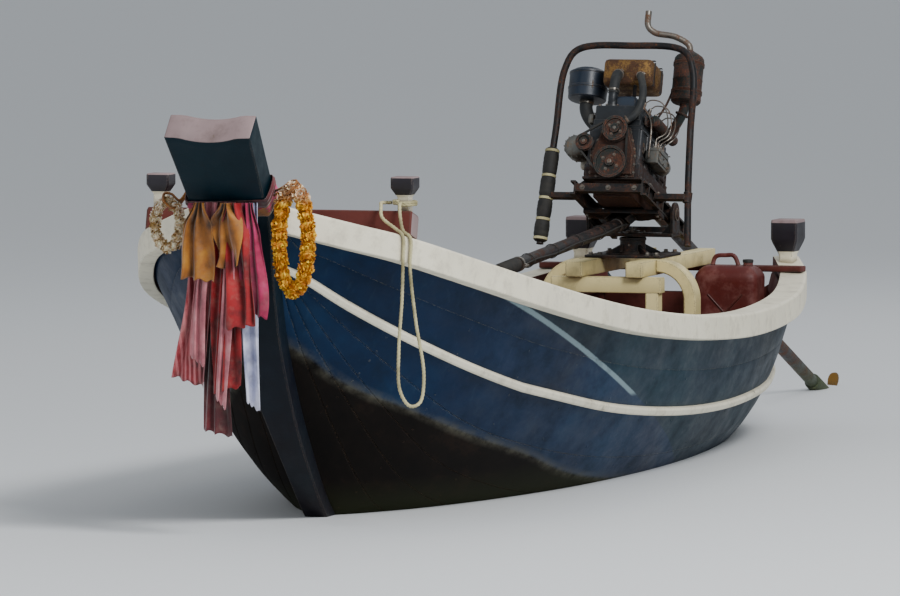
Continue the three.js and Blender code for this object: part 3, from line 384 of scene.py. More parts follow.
# Finishes
class Finish:
    """A node material built on Object coordinates, in metres."""

    def __init__(self, name, roughness=0.6, metallic=0.0, **sockets):
        self.made = bpy.data.materials.new(name)
        self.made.use_nodes = True
        self.tree = self.made.node_tree
        self.shader = self.tree.nodes["Principled BSDF"]
        self.shader.inputs["Roughness"].default_value = roughness
        self.shader.inputs["Metallic"].default_value = metallic
        for key, value in sockets.items():
            self.shader.inputs[key.replace("_", " ")].default_value = value
        self.place = self.node("ShaderNodeTexCoord").outputs["Object"]
        self.normal = None

    def node(self, kind, inputs=None, **settings):
        return add_node(self.tree, kind, inputs, **settings)

    def noise(self, scale, detail=3.0, roughness=0.6, stretch=(1, 1, 1), distortion=0.0):
        place = self.node("ShaderNodeMapping", {"Vector": self.place, "Scale": stretch}).outputs[0]
        inputs = {
            "Vector": place, "Scale": scale, "Detail": detail, "Roughness": roughness,
            "Distortion": distortion,
        }
        return self.node("ShaderNodeTexNoise", inputs).outputs[0]

    def axis(self, letter):
        return self.node("ShaderNodeSeparateXYZ", {"Vector": self.place}).outputs[letter]

    def ramp(self, value, *stops):
        made = self.node("ShaderNodeValToRGB", {"Fac": value})
        points = made.color_ramp.elements
        while len(points) < len(stops):
            points.new(0.5)
        for point, (at, colour) in zip(points, stops):
            point.position = at
            point.color = (colour, colour, colour, 1) if isinstance(colour, (int, float)) else rgb(colour)
        return made.outputs["Color"]

    def rise(self, value, low, high, top=1.0):
        return self.ramp(value, (low, 0.0), (high, top))

    def fall(self, value, low, high, top=1.0):
        return self.ramp(value, (low, top), (high, 0.0))

    def mix(self, share, first, second):
        inputs = {0: share, 6: first, 7: second}
        return self.node("ShaderNodeMix", inputs, data_type="RGBA").outputs[2]

    def maths(self, operation, first, second=0.0):
        return self.node("ShaderNodeMath", {0: first, 1: second}, operation=operation).outputs[0]

    def times(self, first, second):
        return self.maths("MULTIPLY", first, second)

    def plus(self, first, second):
        return self.maths("ADD", first, second)

    def minus(self, first, second):
        return self.maths("SUBTRACT", first, second)

    def curve(self, value, low, high, points):
        """A height that depends on a value; the points are (value, height), both in metres."""
        share = self.node(
            "ShaderNodeMapRange", {"Value": value, "From Min": low, "From Max": high},
        ).outputs[0]
        made = self.node("ShaderNodeFloatCurve", {"Value": share})
        line = made.mapping.curves[0].points
        spots = [((x - low) / (high - low), z) for x, z in points]
        line[0].location = spots[0]
        line[1].location = spots[-1]
        for spot in spots[1:-1]:
            line.new(*spot)
        made.mapping.update()
        return made.outputs[0]

    def edges(self, radius):
        """Light where the surface turns sharply."""
        soft = self.node("ShaderNodeBevel", {"Radius": radius}, samples=4).outputs[0]
        plain = self.node("ShaderNodeNewGeometry").outputs["Normal"]
        same = self.node("ShaderNodeVectorMath", {0: soft, 1: plain}, operation="DOT_PRODUCT")
        turn = self.minus(1.0, same.outputs["Value"])
        return self.rise(turn, 0.02, 0.12)

    def hollows(self, distance):
        """Light where the surface is shut in: the mask with which shade is painted into a colour."""
        shut = self.node("ShaderNodeAmbientOcclusion", {"Distance": distance}, samples=6)
        return self.fall(shut.outputs["AO"], 0.35, 0.85)

    def bump(self, height, distance=0.001, strength=1.0):
        inputs = {"Height": height, "Distance": distance, "Strength": strength}
        if self.normal:
            inputs["Normal"] = self.normal
        self.normal = self.node("ShaderNodeBump", inputs).outputs[0]

    def ends(self, colour=None, roughness=None, metallic=None):
        for key, value in (("Base Color", colour), ("Roughness", roughness), ("Metallic", metallic)):
            if value is not None:
                feed(self.tree, self.shader.inputs[key], value)
        if self.normal:
            self.tree.links.new(self.normal, self.shader.inputs["Normal"])
        return self.made


def old_paint(name, colour, under, grime_and_shade, wear, roughness, fade=0.25):
    """Brushed boat paint over wood: faded in patches, chipped at its edges, grimed in patches and darkened in
    its hollows with painted shade.
    """
    f = Finish(name, roughness)
    patches = f.noise(2.2, 4, 0.65)
    dirt = f.noise(9, 6, 0.7)
    fine = f.noise(140, 3, 0.6)
    strokes = f.noise(30, 3, 0.6, (0.12, 1, 1))
    lighter = scaled(colour, 1 + fade, 0.03 * fade)
    tone = f.ramp(patches, (0.3, scaled(colour, 1 - fade)), (0.5, colour), (0.72, lighter))
    tone = f.mix(f.rise(dirt, 0.5, 0.75, 0.55), tone, grime_and_shade)
    # Painted shade: the colour is pulled toward the grime colour where the surface is shut in and shade falls
    tone = f.mix(f.hollows(0.05), tone, f.mix(0.6, tone, grime_and_shade))
    chips = f.plus(f.edges(0.008), f.rise(dirt, 0.62, 0.72, 0.5))
    chips = f.times(chips, f.rise(fine, 0.5 - wear * 0.2, 0.62 - wear * 0.2))
    chips = f.rise(chips, 0.3, 0.45)
    tone = f.mix(chips, tone, under)
    f.bump(strokes, 0.0012, 0.5)
    f.bump(fine, 0.0004, 0.6)
    f.bump(chips, -0.0008, 0.8)
    rough = f.ramp(dirt, (0.3, roughness * 0.85), (0.7, min(1, roughness * 1.35)))
    return f.ends(tone, rough)


def bare_wood(name, pale, dark, stain):
    """Weathered boards, greyed by sun, darkened in patches where feet and water have been, and darkened in
    their hollows with painted shade.
    """
    f = Finish(name, 0.85)
    fibres = f.noise(5, 6, 0.75, (1, 14, 14), 0.4)
    pores = f.noise(60, 2, 0.5, (0.08, 1, 1))
    blots = f.noise(3.5, 5, 0.65)
    tone = f.ramp(fibres, (0.32, dark), (0.52, pale), (0.75, scaled(pale, 1.25)))
    tone = f.mix(f.rise(pores, 0.55, 0.75, 0.5), tone, dark)
    tone = f.mix(f.rise(blots, 0.45, 0.75, 0.7), tone, stain)
    # Painted shade: the stain colour also darkens the hollows, where shade falls
    tone = f.mix(f.hollows(0.04), tone, stain)
    f.bump(fibres, 0.002, 0.7)
    f.bump(pores, 0.001, 0.6)
    return f.ends(tone, f.ramp(blots, (0.3, 0.85), (0.75, 0.68)))


def old_metal(name, bare, rust, amount, roughness, metallic=0.9):
    """Metal with rust in blooms, oily grime and painted shade darkening its hollows, and bright worn edges.
    """
    f = Finish(name, roughness, metallic)
    blooms = f.noise(14, 7, 0.72)
    grit = f.noise(120, 4, 0.65)
    low = 0.62 - 0.35 * amount
    share = f.rise(f.mix(0.35, blooms, grit), low, low + 0.12)
    rusty = f.ramp(grit, (0.3, scaled(rust, 0.45)), (0.6, rust), (0.85, "a0592c"))
    tone = f.mix(share, bare, rusty)
    # Painted shade, with oily grime: darkened where the surface is shut in; the same mask makes it glossier
    oil_and_shade = f.times(f.hollows(0.05), f.ramp(blooms, (0.35, 1.0), (0.65, 0.35)))
    tone = f.mix(oil_and_shade, tone, "0d0b0a")
    tone = f.mix(f.times(f.edges(0.004), 0.35), tone, "8d857b")
    dull = f.ramp(share, (0.0, roughness), (1.0, 0.92))
    f.bump(blooms, 0.001, 0.4)
    f.bump(grit, 0.0006, f.times(share, 0.8))
    return f.ends(tone, f.mix(oil_and_shade, dull, (0.3, 0.3, 0.3, 1)), f.ramp(share, (0.0, metallic), (1.0, 0.1)))


def engine_paint(name, colour, primer):
    """Grey engine enamel: faded above, darkened in its hollows by oily grime and painted shade, lost to rust
    further down.
    """
    f = Finish(name, 0.5, 0.15)
    blooms = f.noise(11, 7, 0.72)
    grit = f.noise(130, 4, 0.65)
    limits = {"Value": f.axis("Z"), "From Min": 1.12, "From Max": 1.5}
    height = f.node("ShaderNodeMapRange", limits).outputs[0]
    tone = f.ramp(blooms, (0.35, scaled(colour, 0.5)), (0.6, colour), (0.8, "4a535c"))
    rust = f.ramp(grit, (0.3, "1a0e0a"), (0.55, primer), (0.8, "4a2d1e"))
    lost = f.minus(f.mix(0.4, blooms, grit), f.times(height, 0.24))
    share = f.rise(lost, 0.33, 0.42)
    tone = f.mix(share, tone, rust)
    # Painted shade, with oily grime: darkened where the surface is shut in
    oil_and_shade = f.times(f.hollows(0.06), f.ramp(blooms, (0.3, 1.0), (0.7, 0.5)))
    tone = f.mix(oil_and_shade, tone, "0b0a0a")
    tone = f.mix(f.times(f.edges(0.004), 0.3), tone, "8d8a86")
    f.bump(blooms, 0.0012, 0.4)
    f.bump(grit, 0.0008, 0.7)
    return f.ends(tone, f.mix(oil_and_shade, f.ramp(share, (0.0, 0.45), (1.0, 0.9)), (0.3, 0.3, 0.3, 1)))


def old_rubber(name, colour, dust):
    f = Finish(name, 0.75)
    bloom = f.noise(18, 6, 0.7)
    grain = f.noise(220, 3, 0.6)
    tone = f.mix(f.rise(bloom, 0.45, 0.8, 0.6), colour, dust)
    tone = f.mix(f.times(f.edges(0.003), 0.4), tone, dust)
    f.bump(grain, 0.0005, 0.6)
    return f.ends(tone, f.ramp(bloom, (0.3, 0.6), (0.8, 0.9)))


def rope_fibre(name, colour, dark):
    f = Finish(name, 0.9)
    stain = f.noise(6, 5, 0.65)
    fibres = f.noise(420, 2, 0.6)
    tone = f.ramp(stain, (0.35, dark), (0.55, colour), (0.8, scaled(colour, 1.15)))
    tone = f.mix(f.fall(fibres, 0.35, 0.6, 0.5), tone, dark)
    # Painted shade: darkened where the rope is shut in, between its strands and turns
    tone = f.mix(f.hollows(0.01), tone, dark)
    f.bump(fibres, 0.0007, 0.9)
    return f.ends(tone)


def shaft_paint():
    """Dark painted steel, worn bright and rusty, with weed where it dips in the water."""
    f = Finish("shaft paint", 0.5, 0.4)
    blooms = f.noise(12, 7, 0.72)
    grit = f.noise(120, 4, 0.65)
    tone = f.mix(f.rise(f.mix(0.35, blooms, grit), 0.46, 0.58), "202427", "5b3722")
    wet = f.fall(f.plus(f.axis("Z"), f.times(blooms, 0.2)), 0.15, 0.3)
    tone = f.mix(f.times(wet, 0.8), tone, f.ramp(grit, (0.3, "1b2616"), (0.7, "55623a")))
    f.bump(blooms, 0.001, 0.4)
    f.bump(grit, 0.0008, 0.6)
    return f.ends(tone, f.ramp(blooms, (0.3, 0.4), (0.7, 0.85)), f.fall(wet, 0.0, 1.0, 0.4))


# Height of the dark bottom above the waterline, by place along the hull: bottom paint, which climbs towards
# the bow where the shade under the flare is painted in with it
DARK_BOTTOM_AND_SHADE_LINE = [
    (-3.6, -0.03), (-0.6, -0.03), (0.54, 0.045), (1.48, 0.22), (2.15, 0.365), (2.63, 0.51), (2.91, 0.61),
    (3.17, 0.76), (3.6, 1.0),
]


def hull_paint_and_shade():
    """Blue topsides, a teal panel aft of a thin pale stripe, and a dark bottom of bottom paint with painted
    shade where it climbs under the flared bow.
    """
    f = Finish("hull paint", 0.5, Specular_IOR_Level=0.12)
    patches = f.noise(1.6, 5, 0.65, (0.6, 1, 1))
    dirt = f.noise(7, 7, 0.72, (0.5, 1, 0.8))
    fine = f.noise(130, 3, 0.6)
    strokes = f.noise(26, 3, 0.6, (0.1, 1, 1))
    runs = f.noise(9, 4, 0.6, (3.2, 3.2, 0.28))
    blue = f.ramp(patches, (0.3, "00142c"), (0.5, "01203f"), (0.72, "043050"))
    teal = f.ramp(patches, (0.3, "001724"), (0.5, "002234"), (0.72, "022f3e"))
    x, z = f.axis("X"), f.axis("Z")
    # Distance ahead of the slanting stripe, along X
    ahead = f.minus(x, f.plus(f.times(z, 3.3), -0.93))
    ahead = f.plus(ahead, f.times(f.minus(fine, 0.5), 0.03))
    tone = f.mix(f.fall(ahead, 0.0, 0.02), blue, teal)
    stripe = f.fall(f.maths("ABSOLUTE", f.minus(ahead, 0.04)), 0.028, 0.045)
    stripe = f.times(stripe, f.rise(z, 0.41, 0.43, 0.75))
    tone = f.mix(stripe, tone, "8fa6ac")
    tone = f.mix(f.rise(runs, 0.58, 0.88, 0.2), tone, "3c586c")
    tone = f.mix(f.rise(dirt, 0.52, 0.72, 0.6), tone, "101c26")
    edge = f.curve(x, -3.6, 3.6, DARK_BOTTOM_AND_SHADE_LINE)
    wander = f.times(f.minus(dirt, 0.5), 0.02)
    above = f.minus(f.plus(z, wander), edge)
    # Near-black bottom: bottom paint, and painted shade under the flared bow
    bottom = f.ramp(dirt, (0.3, "090706"), (0.55, "120d0a"), (0.8, "2a1d15"))
    slime = f.fall(f.plus(z, wander), 0.0, 0.16)
    bottom = f.mix(f.times(slime, 0.7), bottom, "2b2f1a")
    low = f.fall(f.plus(above, 0.5), 0.494, 0.506)
    tone = f.mix(low, tone, bottom)
    scum = f.fall(f.maths("ABSOLUTE", above), 0.0, 0.03, 0.5)
    tone = f.mix(f.times(scum, f.rise(dirt, 0.4, 0.6)), tone, "6c6a5c")
    chips = f.plus(f.edges(0.006), f.rise(dirt, 0.64, 0.74, 0.6))
    chips = f.times(chips, f.rise(fine, 0.46, 0.58))
    chips = f.rise(chips, 0.35, 0.5)
    tone = f.mix(f.times(chips, 0.7), tone, f.mix(low, "8d8a7c", "5d4a3a"))
    f.bump(patches, 0.01, 0.25)
    f.bump(strokes, 0.0014, 0.5)
    f.bump(fine, 0.0005, 0.6)
    f.bump(chips, -0.0008, 0.8)
    rough = f.mix(low, f.ramp(dirt, (0.3, 0.38), (0.7, 0.65)), (0.85, 0.85, 0.85, 1))
    return f.ends(tone, rough)


def stem_paint():
    """Dark green paint on the stem, made near-black to carry the shade on its front face, more purple near
    the water and worn at its edges.
    """
    f = Finish("stem paint", 0.5, Specular_IOR_Level=0.15)
    patches = f.noise(3, 5, 0.65)
    dirt = f.noise(11, 6, 0.7)
    fine = f.noise(140, 3, 0.6)
    z = f.axis("Z")
    # Painted shade: these near-black tones carry the shade on the stem's front face as well as its paint
    tone = f.ramp(f.times(z, 0.5), (0.1, "0e0810"), (0.35, "040a18"), (0.75, "001a24"))
    tone = f.mix(f.rise(patches, 0.4, 0.75, 0.3), tone, "0c2c36")
    tone = f.mix(f.rise(dirt, 0.55, 0.75, 0.4), tone, "1e1f20")
    chips = f.times(f.edges(0.008), f.rise(fine, 0.42, 0.56))
    tone = f.mix(chips, tone, "7c6a5c")
    f.bump(f.noise(26, 3, 0.6, (1, 1, 0.15)), 0.0015, 0.5)
    f.bump(fine, 0.0005, 0.6)
    return f.ends(tone, f.ramp(dirt, (0.3, 0.35), (0.7, 0.6)))


HULL_PAINT_AND_SHADE = hull_paint_and_shade()
STEM_PAINT_AND_SHADE = stem_paint()
CREAM = old_paint("cream paint", "efe8d0", "8b8474", "9a907a", 0.5, 0.5, fade=0.1)
YELLOWED = old_paint("yellowed cream paint", "e8d79a", "857a62", "8c7f58", 0.5, 0.5, fade=0.14)
OXIDE = old_paint("oxide paint", "5a1f15", "463a30", "2a1c16", 0.45, 0.7)
PINK_TOP = old_paint("worn pink paint", "8c7878", "6b5c4e", "5a4a44", 0.4, 0.6)
DARK_TIP = old_paint("dark tip paint", "17121c", "5c5048", "15110f", 0.35, 0.5)
BOTTOM = old_paint("bottom paint", "180f0c", "4a3a2c", "2b2f1a", 0.4, 0.85)
BOARDS = bare_wood("bare boards", "8f8270", "55493b", "4a3a2a")
SHAFT_PAINT = shaft_paint()


# Hull
def planks(name, seams, start, stands_for, rides_as):
    """Carvel planks between seams given as functions of u, closed and bevelled at each seam."""
    us = [start] + [u for u in spaced(0, LAST, LAST * 8 + 1) if u > start + 0.06]
    for side, label in SIDES:
        shape = Shape()
        for low, high in zip(seams, seams[1:]):
            rings = []
            for u in us:
                a, b = low(u), high(u)
                width = (b - a) * girth(u)
                groove = min(0.2, 0.006 / max(width, 0.012))
                marks = [(0.0, -0.0035), (groove, 0.0), (0.25, 0.0008), (0.5, 0.0012), (0.75, 0.0008)]
                marks += [(1 - groove, 0.0), (1.0, -0.0035)]
                ring = [hull_point(u, a + (b - a) * f, lift) for f, lift in marks]
                ring += [hull_point(u, a + (b - a) * f, -PLANK) for f in (1.0, 0.5, 0.0)]
                rings.append(on_side(ring, side))
            n = len(rings[0])
            first = len(shape.faces)
            shape.loft(rings)
            for i in range(len(rings) - 1):
                for k in (n - 3, n - 2):
                    shape.finishes[first + i * n + k] = 1
        shape.made(
            f"{name}_planks_{label}", [HULL_PAINT_AND_SHADE, OXIDE], rides_as,
            [f"{node}_{label}" for node in stands_for], 30,
        )


def part_way(low, high, share):
    return lambda u: low(u) + (high(u) - low(u)) * share


def flat_value(value):
    return lambda u: value


planks(
    "bottom", [part_way(flat_value(0), bilge_seam, f) for f in (0, 1 / 3, 2 / 3, 1)], 0.35,
    ["bottom_planking_fore", "bottom_planking_aft"], "hull_bottom",
)
planks(
    "topside", [part_way(bilge_seam, rubbing_seam, f) for f in (0, 0.5, 1)], 0.25,
    ["topside_planking_fore", "topside_planking_aft"], "hull_blue",
)
planks(
    "sheer", [part_way(rubbing_seam, flat_value(1), f) for f in (0, 0.5, 1)], 0.1,
    ["sheer_planking"], "hull_blue",
)


def along_hull(name, seam, profile, start, stop, finishes, slot, replaces, lean=0.0, bevel=0.006, inner=()):
    """A moulding along the skin on both sides. The profile is (outwards, upwards).

    Its faces whose numbers are in inner take the second finish.
    """
    us = [start] + [u for u in spaced(0, LAST, LAST * 8 + 1) if start + 0.05 < u < stop - 0.02] + [stop]
    for side, label in SIDES:
        rings = []
        for u in us:
            t = seam(u)
            base, out = skin(u, t), outward(u, t)
            level = Vector((out.x, out.y, 0)).normalized().lerp(out, lean).normalized()
            along = skin(u + 1e-3, t) - skin(u - 1e-3, t)
            up = along.cross(level).normalized()
            if up.z < 0:
                up.negate()
            ring = [base + level * a + up * b for a, b in profile]
            rings.append(on_side(ring, side))
        shape = Shape()
        shape.loft(rings)
        for i in range(len(rings) - 1):
            for k in inner:
                shape.finishes[i * len(profile) + k] = 1
        shape.made(f"{name}_{label}", finishes, slot, [f"{replaces}_{label}"], 35, bevel)


RAIL = [
    (0.0, -0.082), (RAIL_OUT, -0.078), (RAIL_OUT, RAIL_TOP - 0.008), (RAIL_OUT - 0.010, RAIL_TOP),
    (RAIL_IN, RAIL_TOP), (RAIL_IN, RAIL_UNDER), (-PLANK, RAIL_UNDER), (-PLANK + 0.004, -0.082),
]
along_hull("rail", flat_value(1), RAIL, 0.02, LAST, [CREAM, OXIDE], "cream_paint", "gunwale", inner=(4, 5, 6))
STRAKE = [(-0.003, -0.021), (0.016, -0.019), (0.024, -0.011), (0.024, 0.011), (0.016, 0.019), (-0.003, 0.021)]
along_hull("rubbing_strake", rubbing_seam, STRAKE, 0.5, LAST, CREAM, "cream_paint", "rub_strake", 1.0, 0.003)


# Stem and transom
STEM = [
    # x, z, half width, depth outside the plank line, depth inside it, in millimetres
    (1990, -215, 46, 60, 40),
    (2420, -12, 50, 70, 42),
    (2860, 368, 62, 80, 45),
    (3215, 752, 92, 88, 45),
    (3430, 1030, 126, 92, 45),
    (3585, 1300, 156, 92, 48),
    (3695, 1460, 168, 88, 50),
    (4012, 1775, 192, 74, 62),
]


def stem_row(f):
    """The stem's row at f, from 0 at its foot to 7 at its head, and the directions along and ahead."""
    x, z, half = between(STEM, f, 0)
    _, out, inside = between(STEM, f, 2)
    above, below = between(STEM, min(7, f + 0.02), 0), between(STEM, max(0, f - 0.02), 0)
    along = Vector((above.x - below.x, 0, above.y - below.y)).normalized()
    return Vector((x, 0, z)), half, out, inside, along, Vector((along.z, 0, -along.x))


def stem_section(f, grow=0.0, count=11):
    """Front points from starboard to port, then back points from port to starboard."""
    at, half, out, inside, along, ahead = stem_row(f)
    across = spaced(-1, 1, count)
    front = [
        at + ahead * (out + grow - 0.004 * abs(a) ** 3) + Vector((0, a * (half + grow), 0))
        for a in across
    ]
    back = [at - ahead * (inside + grow) + Vector((0, a * (half + grow), 0)) for a in reversed(across)]
    return front, back, along


def stem_board():
    count = 17
    rings = []
    for f in spaced(0, 6, 61):
        front, back, _ = stem_section(f, count=count)
        rings.append(front + back)
    last = [stem_section(f, count=count) for f in (6.0, 7.0)]
    radius, depth = 0.33, 0.026
    for share in spaced(0, 1, 13)[1:]:
        ring = []
        for side in (0, 1):
            for low, high in zip(last[0][side], last[1][side]):
                hollow = min(0.0, radius - depth - sqrt(radius**2 - high.y**2))
                ring.append(low.lerp(high + last[1][2] * hollow, share))
        rings.append(ring)
    shape = Shape()
    shape.loft(rings, caps=False)
    foot, top = rings[0], rings[-1]
    n = 2 * count
    for ring, finish, flip in ((foot, 0, False), (top, 1, True)):
        faces = []
        for k in range(count - 1):
            face = (k, k + 1, n - 2 - k, n - 1 - k)
            faces.append(tuple(reversed(face)) if flip else face)
        shape.add(ring, faces, finish)
    merged = shape.made("stem", [STEM_PAINT_AND_SHADE, PINK_TOP], "stem_paint", ["stem_board"], 35)
    outwards(merged.data, weld=True)
    ease_edges(merged, 0.007, 40, False)


stem_board()


def transom():
    """Boards across the stern, dished on top so that the shaft passes over."""
    side = [hull_point(LAST, t, -0.001) for t in spaced(0, 1, 25)]
    top = side[-1]
    dish = smooth_path([
        (0, top.y - 0.02, top.z + 0.004), (0, 0.385, top.z - 0.118), (0, 0.19, top.z - 0.15),
    ], 9)
    half = [(p.y, p.z) for p in side] + [(p.y, p.z) for p in dish]
    rake = (HULL[LAST][6] - HULL[LAST][0]) / (HULL[LAST][8] - HULL[LAST][2])
    ring = half + [(-y, z) for y, z in reversed(half)]
    low_x, low_z = HULL[LAST][0] / 1000, HULL[LAST][2] / 1000
    shape = Shape()
    rings = [
        [(low_x - GAP + (z - low_z) * rake - back, y * inset, z) for y, z in ring]
        for back, inset in ((0, 1), (0.033, 1), (0.036, 0.994))
    ]
    shape.loft(rings)
    shape.finishes[-2] = 1
    shape.made("transom_boards", [HULL_PAINT_AND_SHADE, OXIDE], "hull_blue", ["transom"], 35)


transom()


def room_half(x, z, depth):
    """Half breadth inside the skin at a height, less a depth."""
    low, high = 0.0, 1.0
    for _ in range(14):
        t = (low + high) / 2
        if hull_point(section_at(x, t), t, -depth).z > z:
            high = t
        else:
            low = t
    return max(0.01, hull_point(section_at(x, low), low, -depth).y)


def ribs():
    inwale = [(0.9, -0.052), (0.965, -0.052), (0.965, -0.078), (0.955, -0.082), (0.91, -0.082), (0.9, -0.078)]
    for side, label in SIDES:
        shape = Shape()
        for x in RIB_XS:
            middle = section_at(x)
            spread = 0.021 / abs(skin(middle + 0.5, 1).x - skin(middle - 0.5, 1).x)
            low = next(t for t in spaced(0, 1, 101) if hull_point(middle, t, -0.026).z > -0.056)
            rings = []
            for t in spaced(low, 0.975, 22):
                a, b = middle - spread, middle + spread
                ring = [hull_point(a, t, -0.024), hull_point(b, t, -0.024)]
                ring += [hull_point(b, t, -0.058), hull_point(b - spread * 0.3, t, -0.064)]
                ring += [hull_point(a + spread * 0.3, t, -0.064), hull_point(a, t, -0.058)]
                rings.append(on_side(ring, side))
            shape.loft(rings)
        rings = []
        for u in spaced(0.9, LAST - 0.03, 84):
            rings.append(on_side([hull_point(u, t, lift) for t, lift in inwale], side))
        shape.loft(rings)
        shape.made(
            f"ribs_and_inwale_{label}", OXIDE, "oxide_paint", [f"ribs_fore_{label}", f"ribs_aft_{label}"], 30,
        )


ribs()

CLEAR_OF_RIBS = 0.067
FLOOR_BOARD = 0.128


def boards_along(shape, x0, x1, z, thick, width, depth):
    """Boards that run fore and aft, their outer ends cut to the hull."""
    xs = spaced(x0, x1, 15)
    reach = [room_half(x, z - thick, depth) for x in xs]
    y = 0.004
    rank = random.Random(round(x0 * 1000))
    while y < max(reach):
        for side in (1, -1):
            kept = [(x, min(y + width - 0.005, r)) for x, r in zip(xs, reach) if r > y + 0.02]
            if len(kept) > 1:
                lift = rank.uniform(-0.0015, 0.0015)
                kept = [(kept[0][0] + rank.uniform(0, 0.006), kept[0][1])] + kept[1:]
                rings = []
                for x, outer in kept:
                    top, low = z + lift, z - thick
                    ring = [
                        (x, side * y, low), (x, side * outer, low), (x, side * outer, top - 0.003),
                        (x, side * (outer - 0.003), top), (x, side * (y + 0.003), top),
                        (x, side * y, top - 0.003),
                    ]
                    rings.append(ring)
                shape.loft(rings)
        y += width
    return shape


def boards_across(name, edges, heights, thick, depth):
    """Boards that run from side to side between the given places along X."""
    shape = Shape()
    for a, b in zip(edges, edges[1:]):
        a, b = min(a, b) + 0.0025, max(a, b) - 0.0025
        za, zb = heights(a), heights(b)
        ya, yb = room_half(a, za - thick, depth), room_half(b, zb - thick, depth)
        rings = []
        for s in spaced(-1, 1, 9):
            rings.append([
                (a, s * ya, za - thick), (b, s * yb, zb - thick), (b, s * yb, zb - 0.004),
                (b - 0.004, s * yb, zb), (a + 0.004, s * ya, za), (a, s * ya, za - 0.004),
            ])
        shape.loft(rings)
    shape.made(name + "_boards", OXIDE, "oxide_paint", [name], 25)


def bow_deck_height(x):
    return 0.74 + (x - 2.02) / 1.31 * 0.365


floor_shape = Shape()
for x0, x1 in ((0.52, 1.56), (-1.04, 0.515), (-2.48, -1.045)):
    boards_along(floor_shape, x0, x1, FLOOR_TOP, FLOOR_THICK, FLOOR_BOARD, CLEAR_OF_RIBS)
floor_shape.made("floorboards_boards", BOARDS, "bare_boards", ["floorboards"], 25)
boards_across("bow_deck", spaced(2.02, 3.33, 11), bow_deck_height, DECK_THICK, CLEAR_OF_RIBS + 0.025)
boards_across("stern_deck", spaced(-3.47, -1.95, 12), flat_value(STERN_DECK_TOP), DECK_THICK, CLEAR_OF_RIBS)
boards_across("thwart_fore", (0.965, 1.08, 1.195), flat_value(0.47), 0.034, CLEAR_OF_RIBS)
boards_across("thwart_middle", (-0.685, -0.57, -0.455), flat_value(0.375), 0.034, CLEAR_OF_RIBS)


# Beams and posts
def rail_top(x):
    return skin(section_at(x), 1).z + RAIL_TOP


def bed_beam(name, x, width, top):
    """A beam from rail to rail."""
    reach = skin(section_at(x), 1).y + 0.03
    low = max(rail_top(x - width / 2), rail_top(x + width / 2)) - 0.004
    shape = Shape()
    shape.slab((x - width / 2, -reach, low), (x + width / 2, reach, top), 0.005)
    shape.made(name + "_timber", OXIDE, "oxide_paint", [name], 30)


def trestle():
    """Two legs and a cap that carry the forward ends of the engine bearers."""
    shape = Shape()
    shape.slab((-2.1, -0.275, 0.725), (-2.02, 0.275, BEARER_UNDER), 0.005)
    for side in (-1, 1):
        y = side * 0.23
        shape.slab((-2.099, y - 0.032, STERN_DECK_TOP + GAP), (-2.021, y + 0.032, 0.73), 0.005)
    shape.made("engine_trestle_timber", YELLOWED, "cream_paint", ["engine_trestle"], 30)


trestle()
bed_beam("engine_beam_stern", -3.2, 0.09, BEARER_UNDER)

STERN_POST_X = -3.44
BOW_BEAM_X = 3.045
BOW_BEAM_TALL = 0.108
BOW_POST_Y = 0.555
bow_u = section_at(BOW_BEAM_X)
fore, aft = skin(bow_u - 0.15, 1), skin(bow_u + 0.15, 1)
sheer_fall = math.atan2(fore.z - aft.z, fore.x - aft.x)
BOW_BEAM = Matrix.Translation((BOW_BEAM_X, 0, skin(bow_u, 1).z + RAIL_TOP + 0.007))
BOW_BEAM = BOW_BEAM @ Matrix.Rotation(-sheer_fall, 4, "Y")
BOW_POST_FOOT = BOW_BEAM @ Vector((0, BOW_POST_Y, BOW_BEAM_TALL))


def bow_beam():
    shape = Shape(place=BOW_BEAM)
    h, e = 0.056, 0.007
    rings = []
    for y, inset in ((-0.603, e), (-0.603 + e, 0), (-0.22, 0), (0.22, 0), (0.603 - e, 0), (0.603, e)):
        a = h - inset
        rings.append([(x, y, z) for x, z in cut_corners(-a, a, -0.003 + inset, BOW_BEAM_TALL - inset, 0.006)])
    shape.loft(rings)
    for i in (-1, -2):
        shape.finishes[i] = 1
    shape.made("bow_crossbeam_timber", [OXIDE, PINK_TOP], "oxide_paint", ["bow_crossbeam"], 30)


bow_beam()


def post(name, foot, levels, flat, finishes, slot):
    """A square post; levels are (height, half width, finish, corner easing)."""
    shape = Shape()
    rings, tints = [], []
    for z, half, finish, e in levels:
        a, b = half, half * flat
        outline = cut_corners(-a, a, -b, b, e)
        rings.append([(foot.x + x, foot.y + y, foot.z + z) for x, y in outline[1:] + outline[:1]])
        tints.append(finish)
    for i in range(len(rings) - 1):
        n = 8
        faces = [(k, (k + 1) % n, n + (k + 1) % n, n + k) for k in range(n)]
        shape.add(rings[i] + rings[i + 1], faces, tints[i + 1])
    shape.add(rings[0], [tuple(reversed(range(8)))], tints[0])
    shape.add(rings[-1], [tuple(range(8))], tints[-1])
    outwards(shape.made(name + "_timber", finishes, slot, [name], 35).data, weld=True)


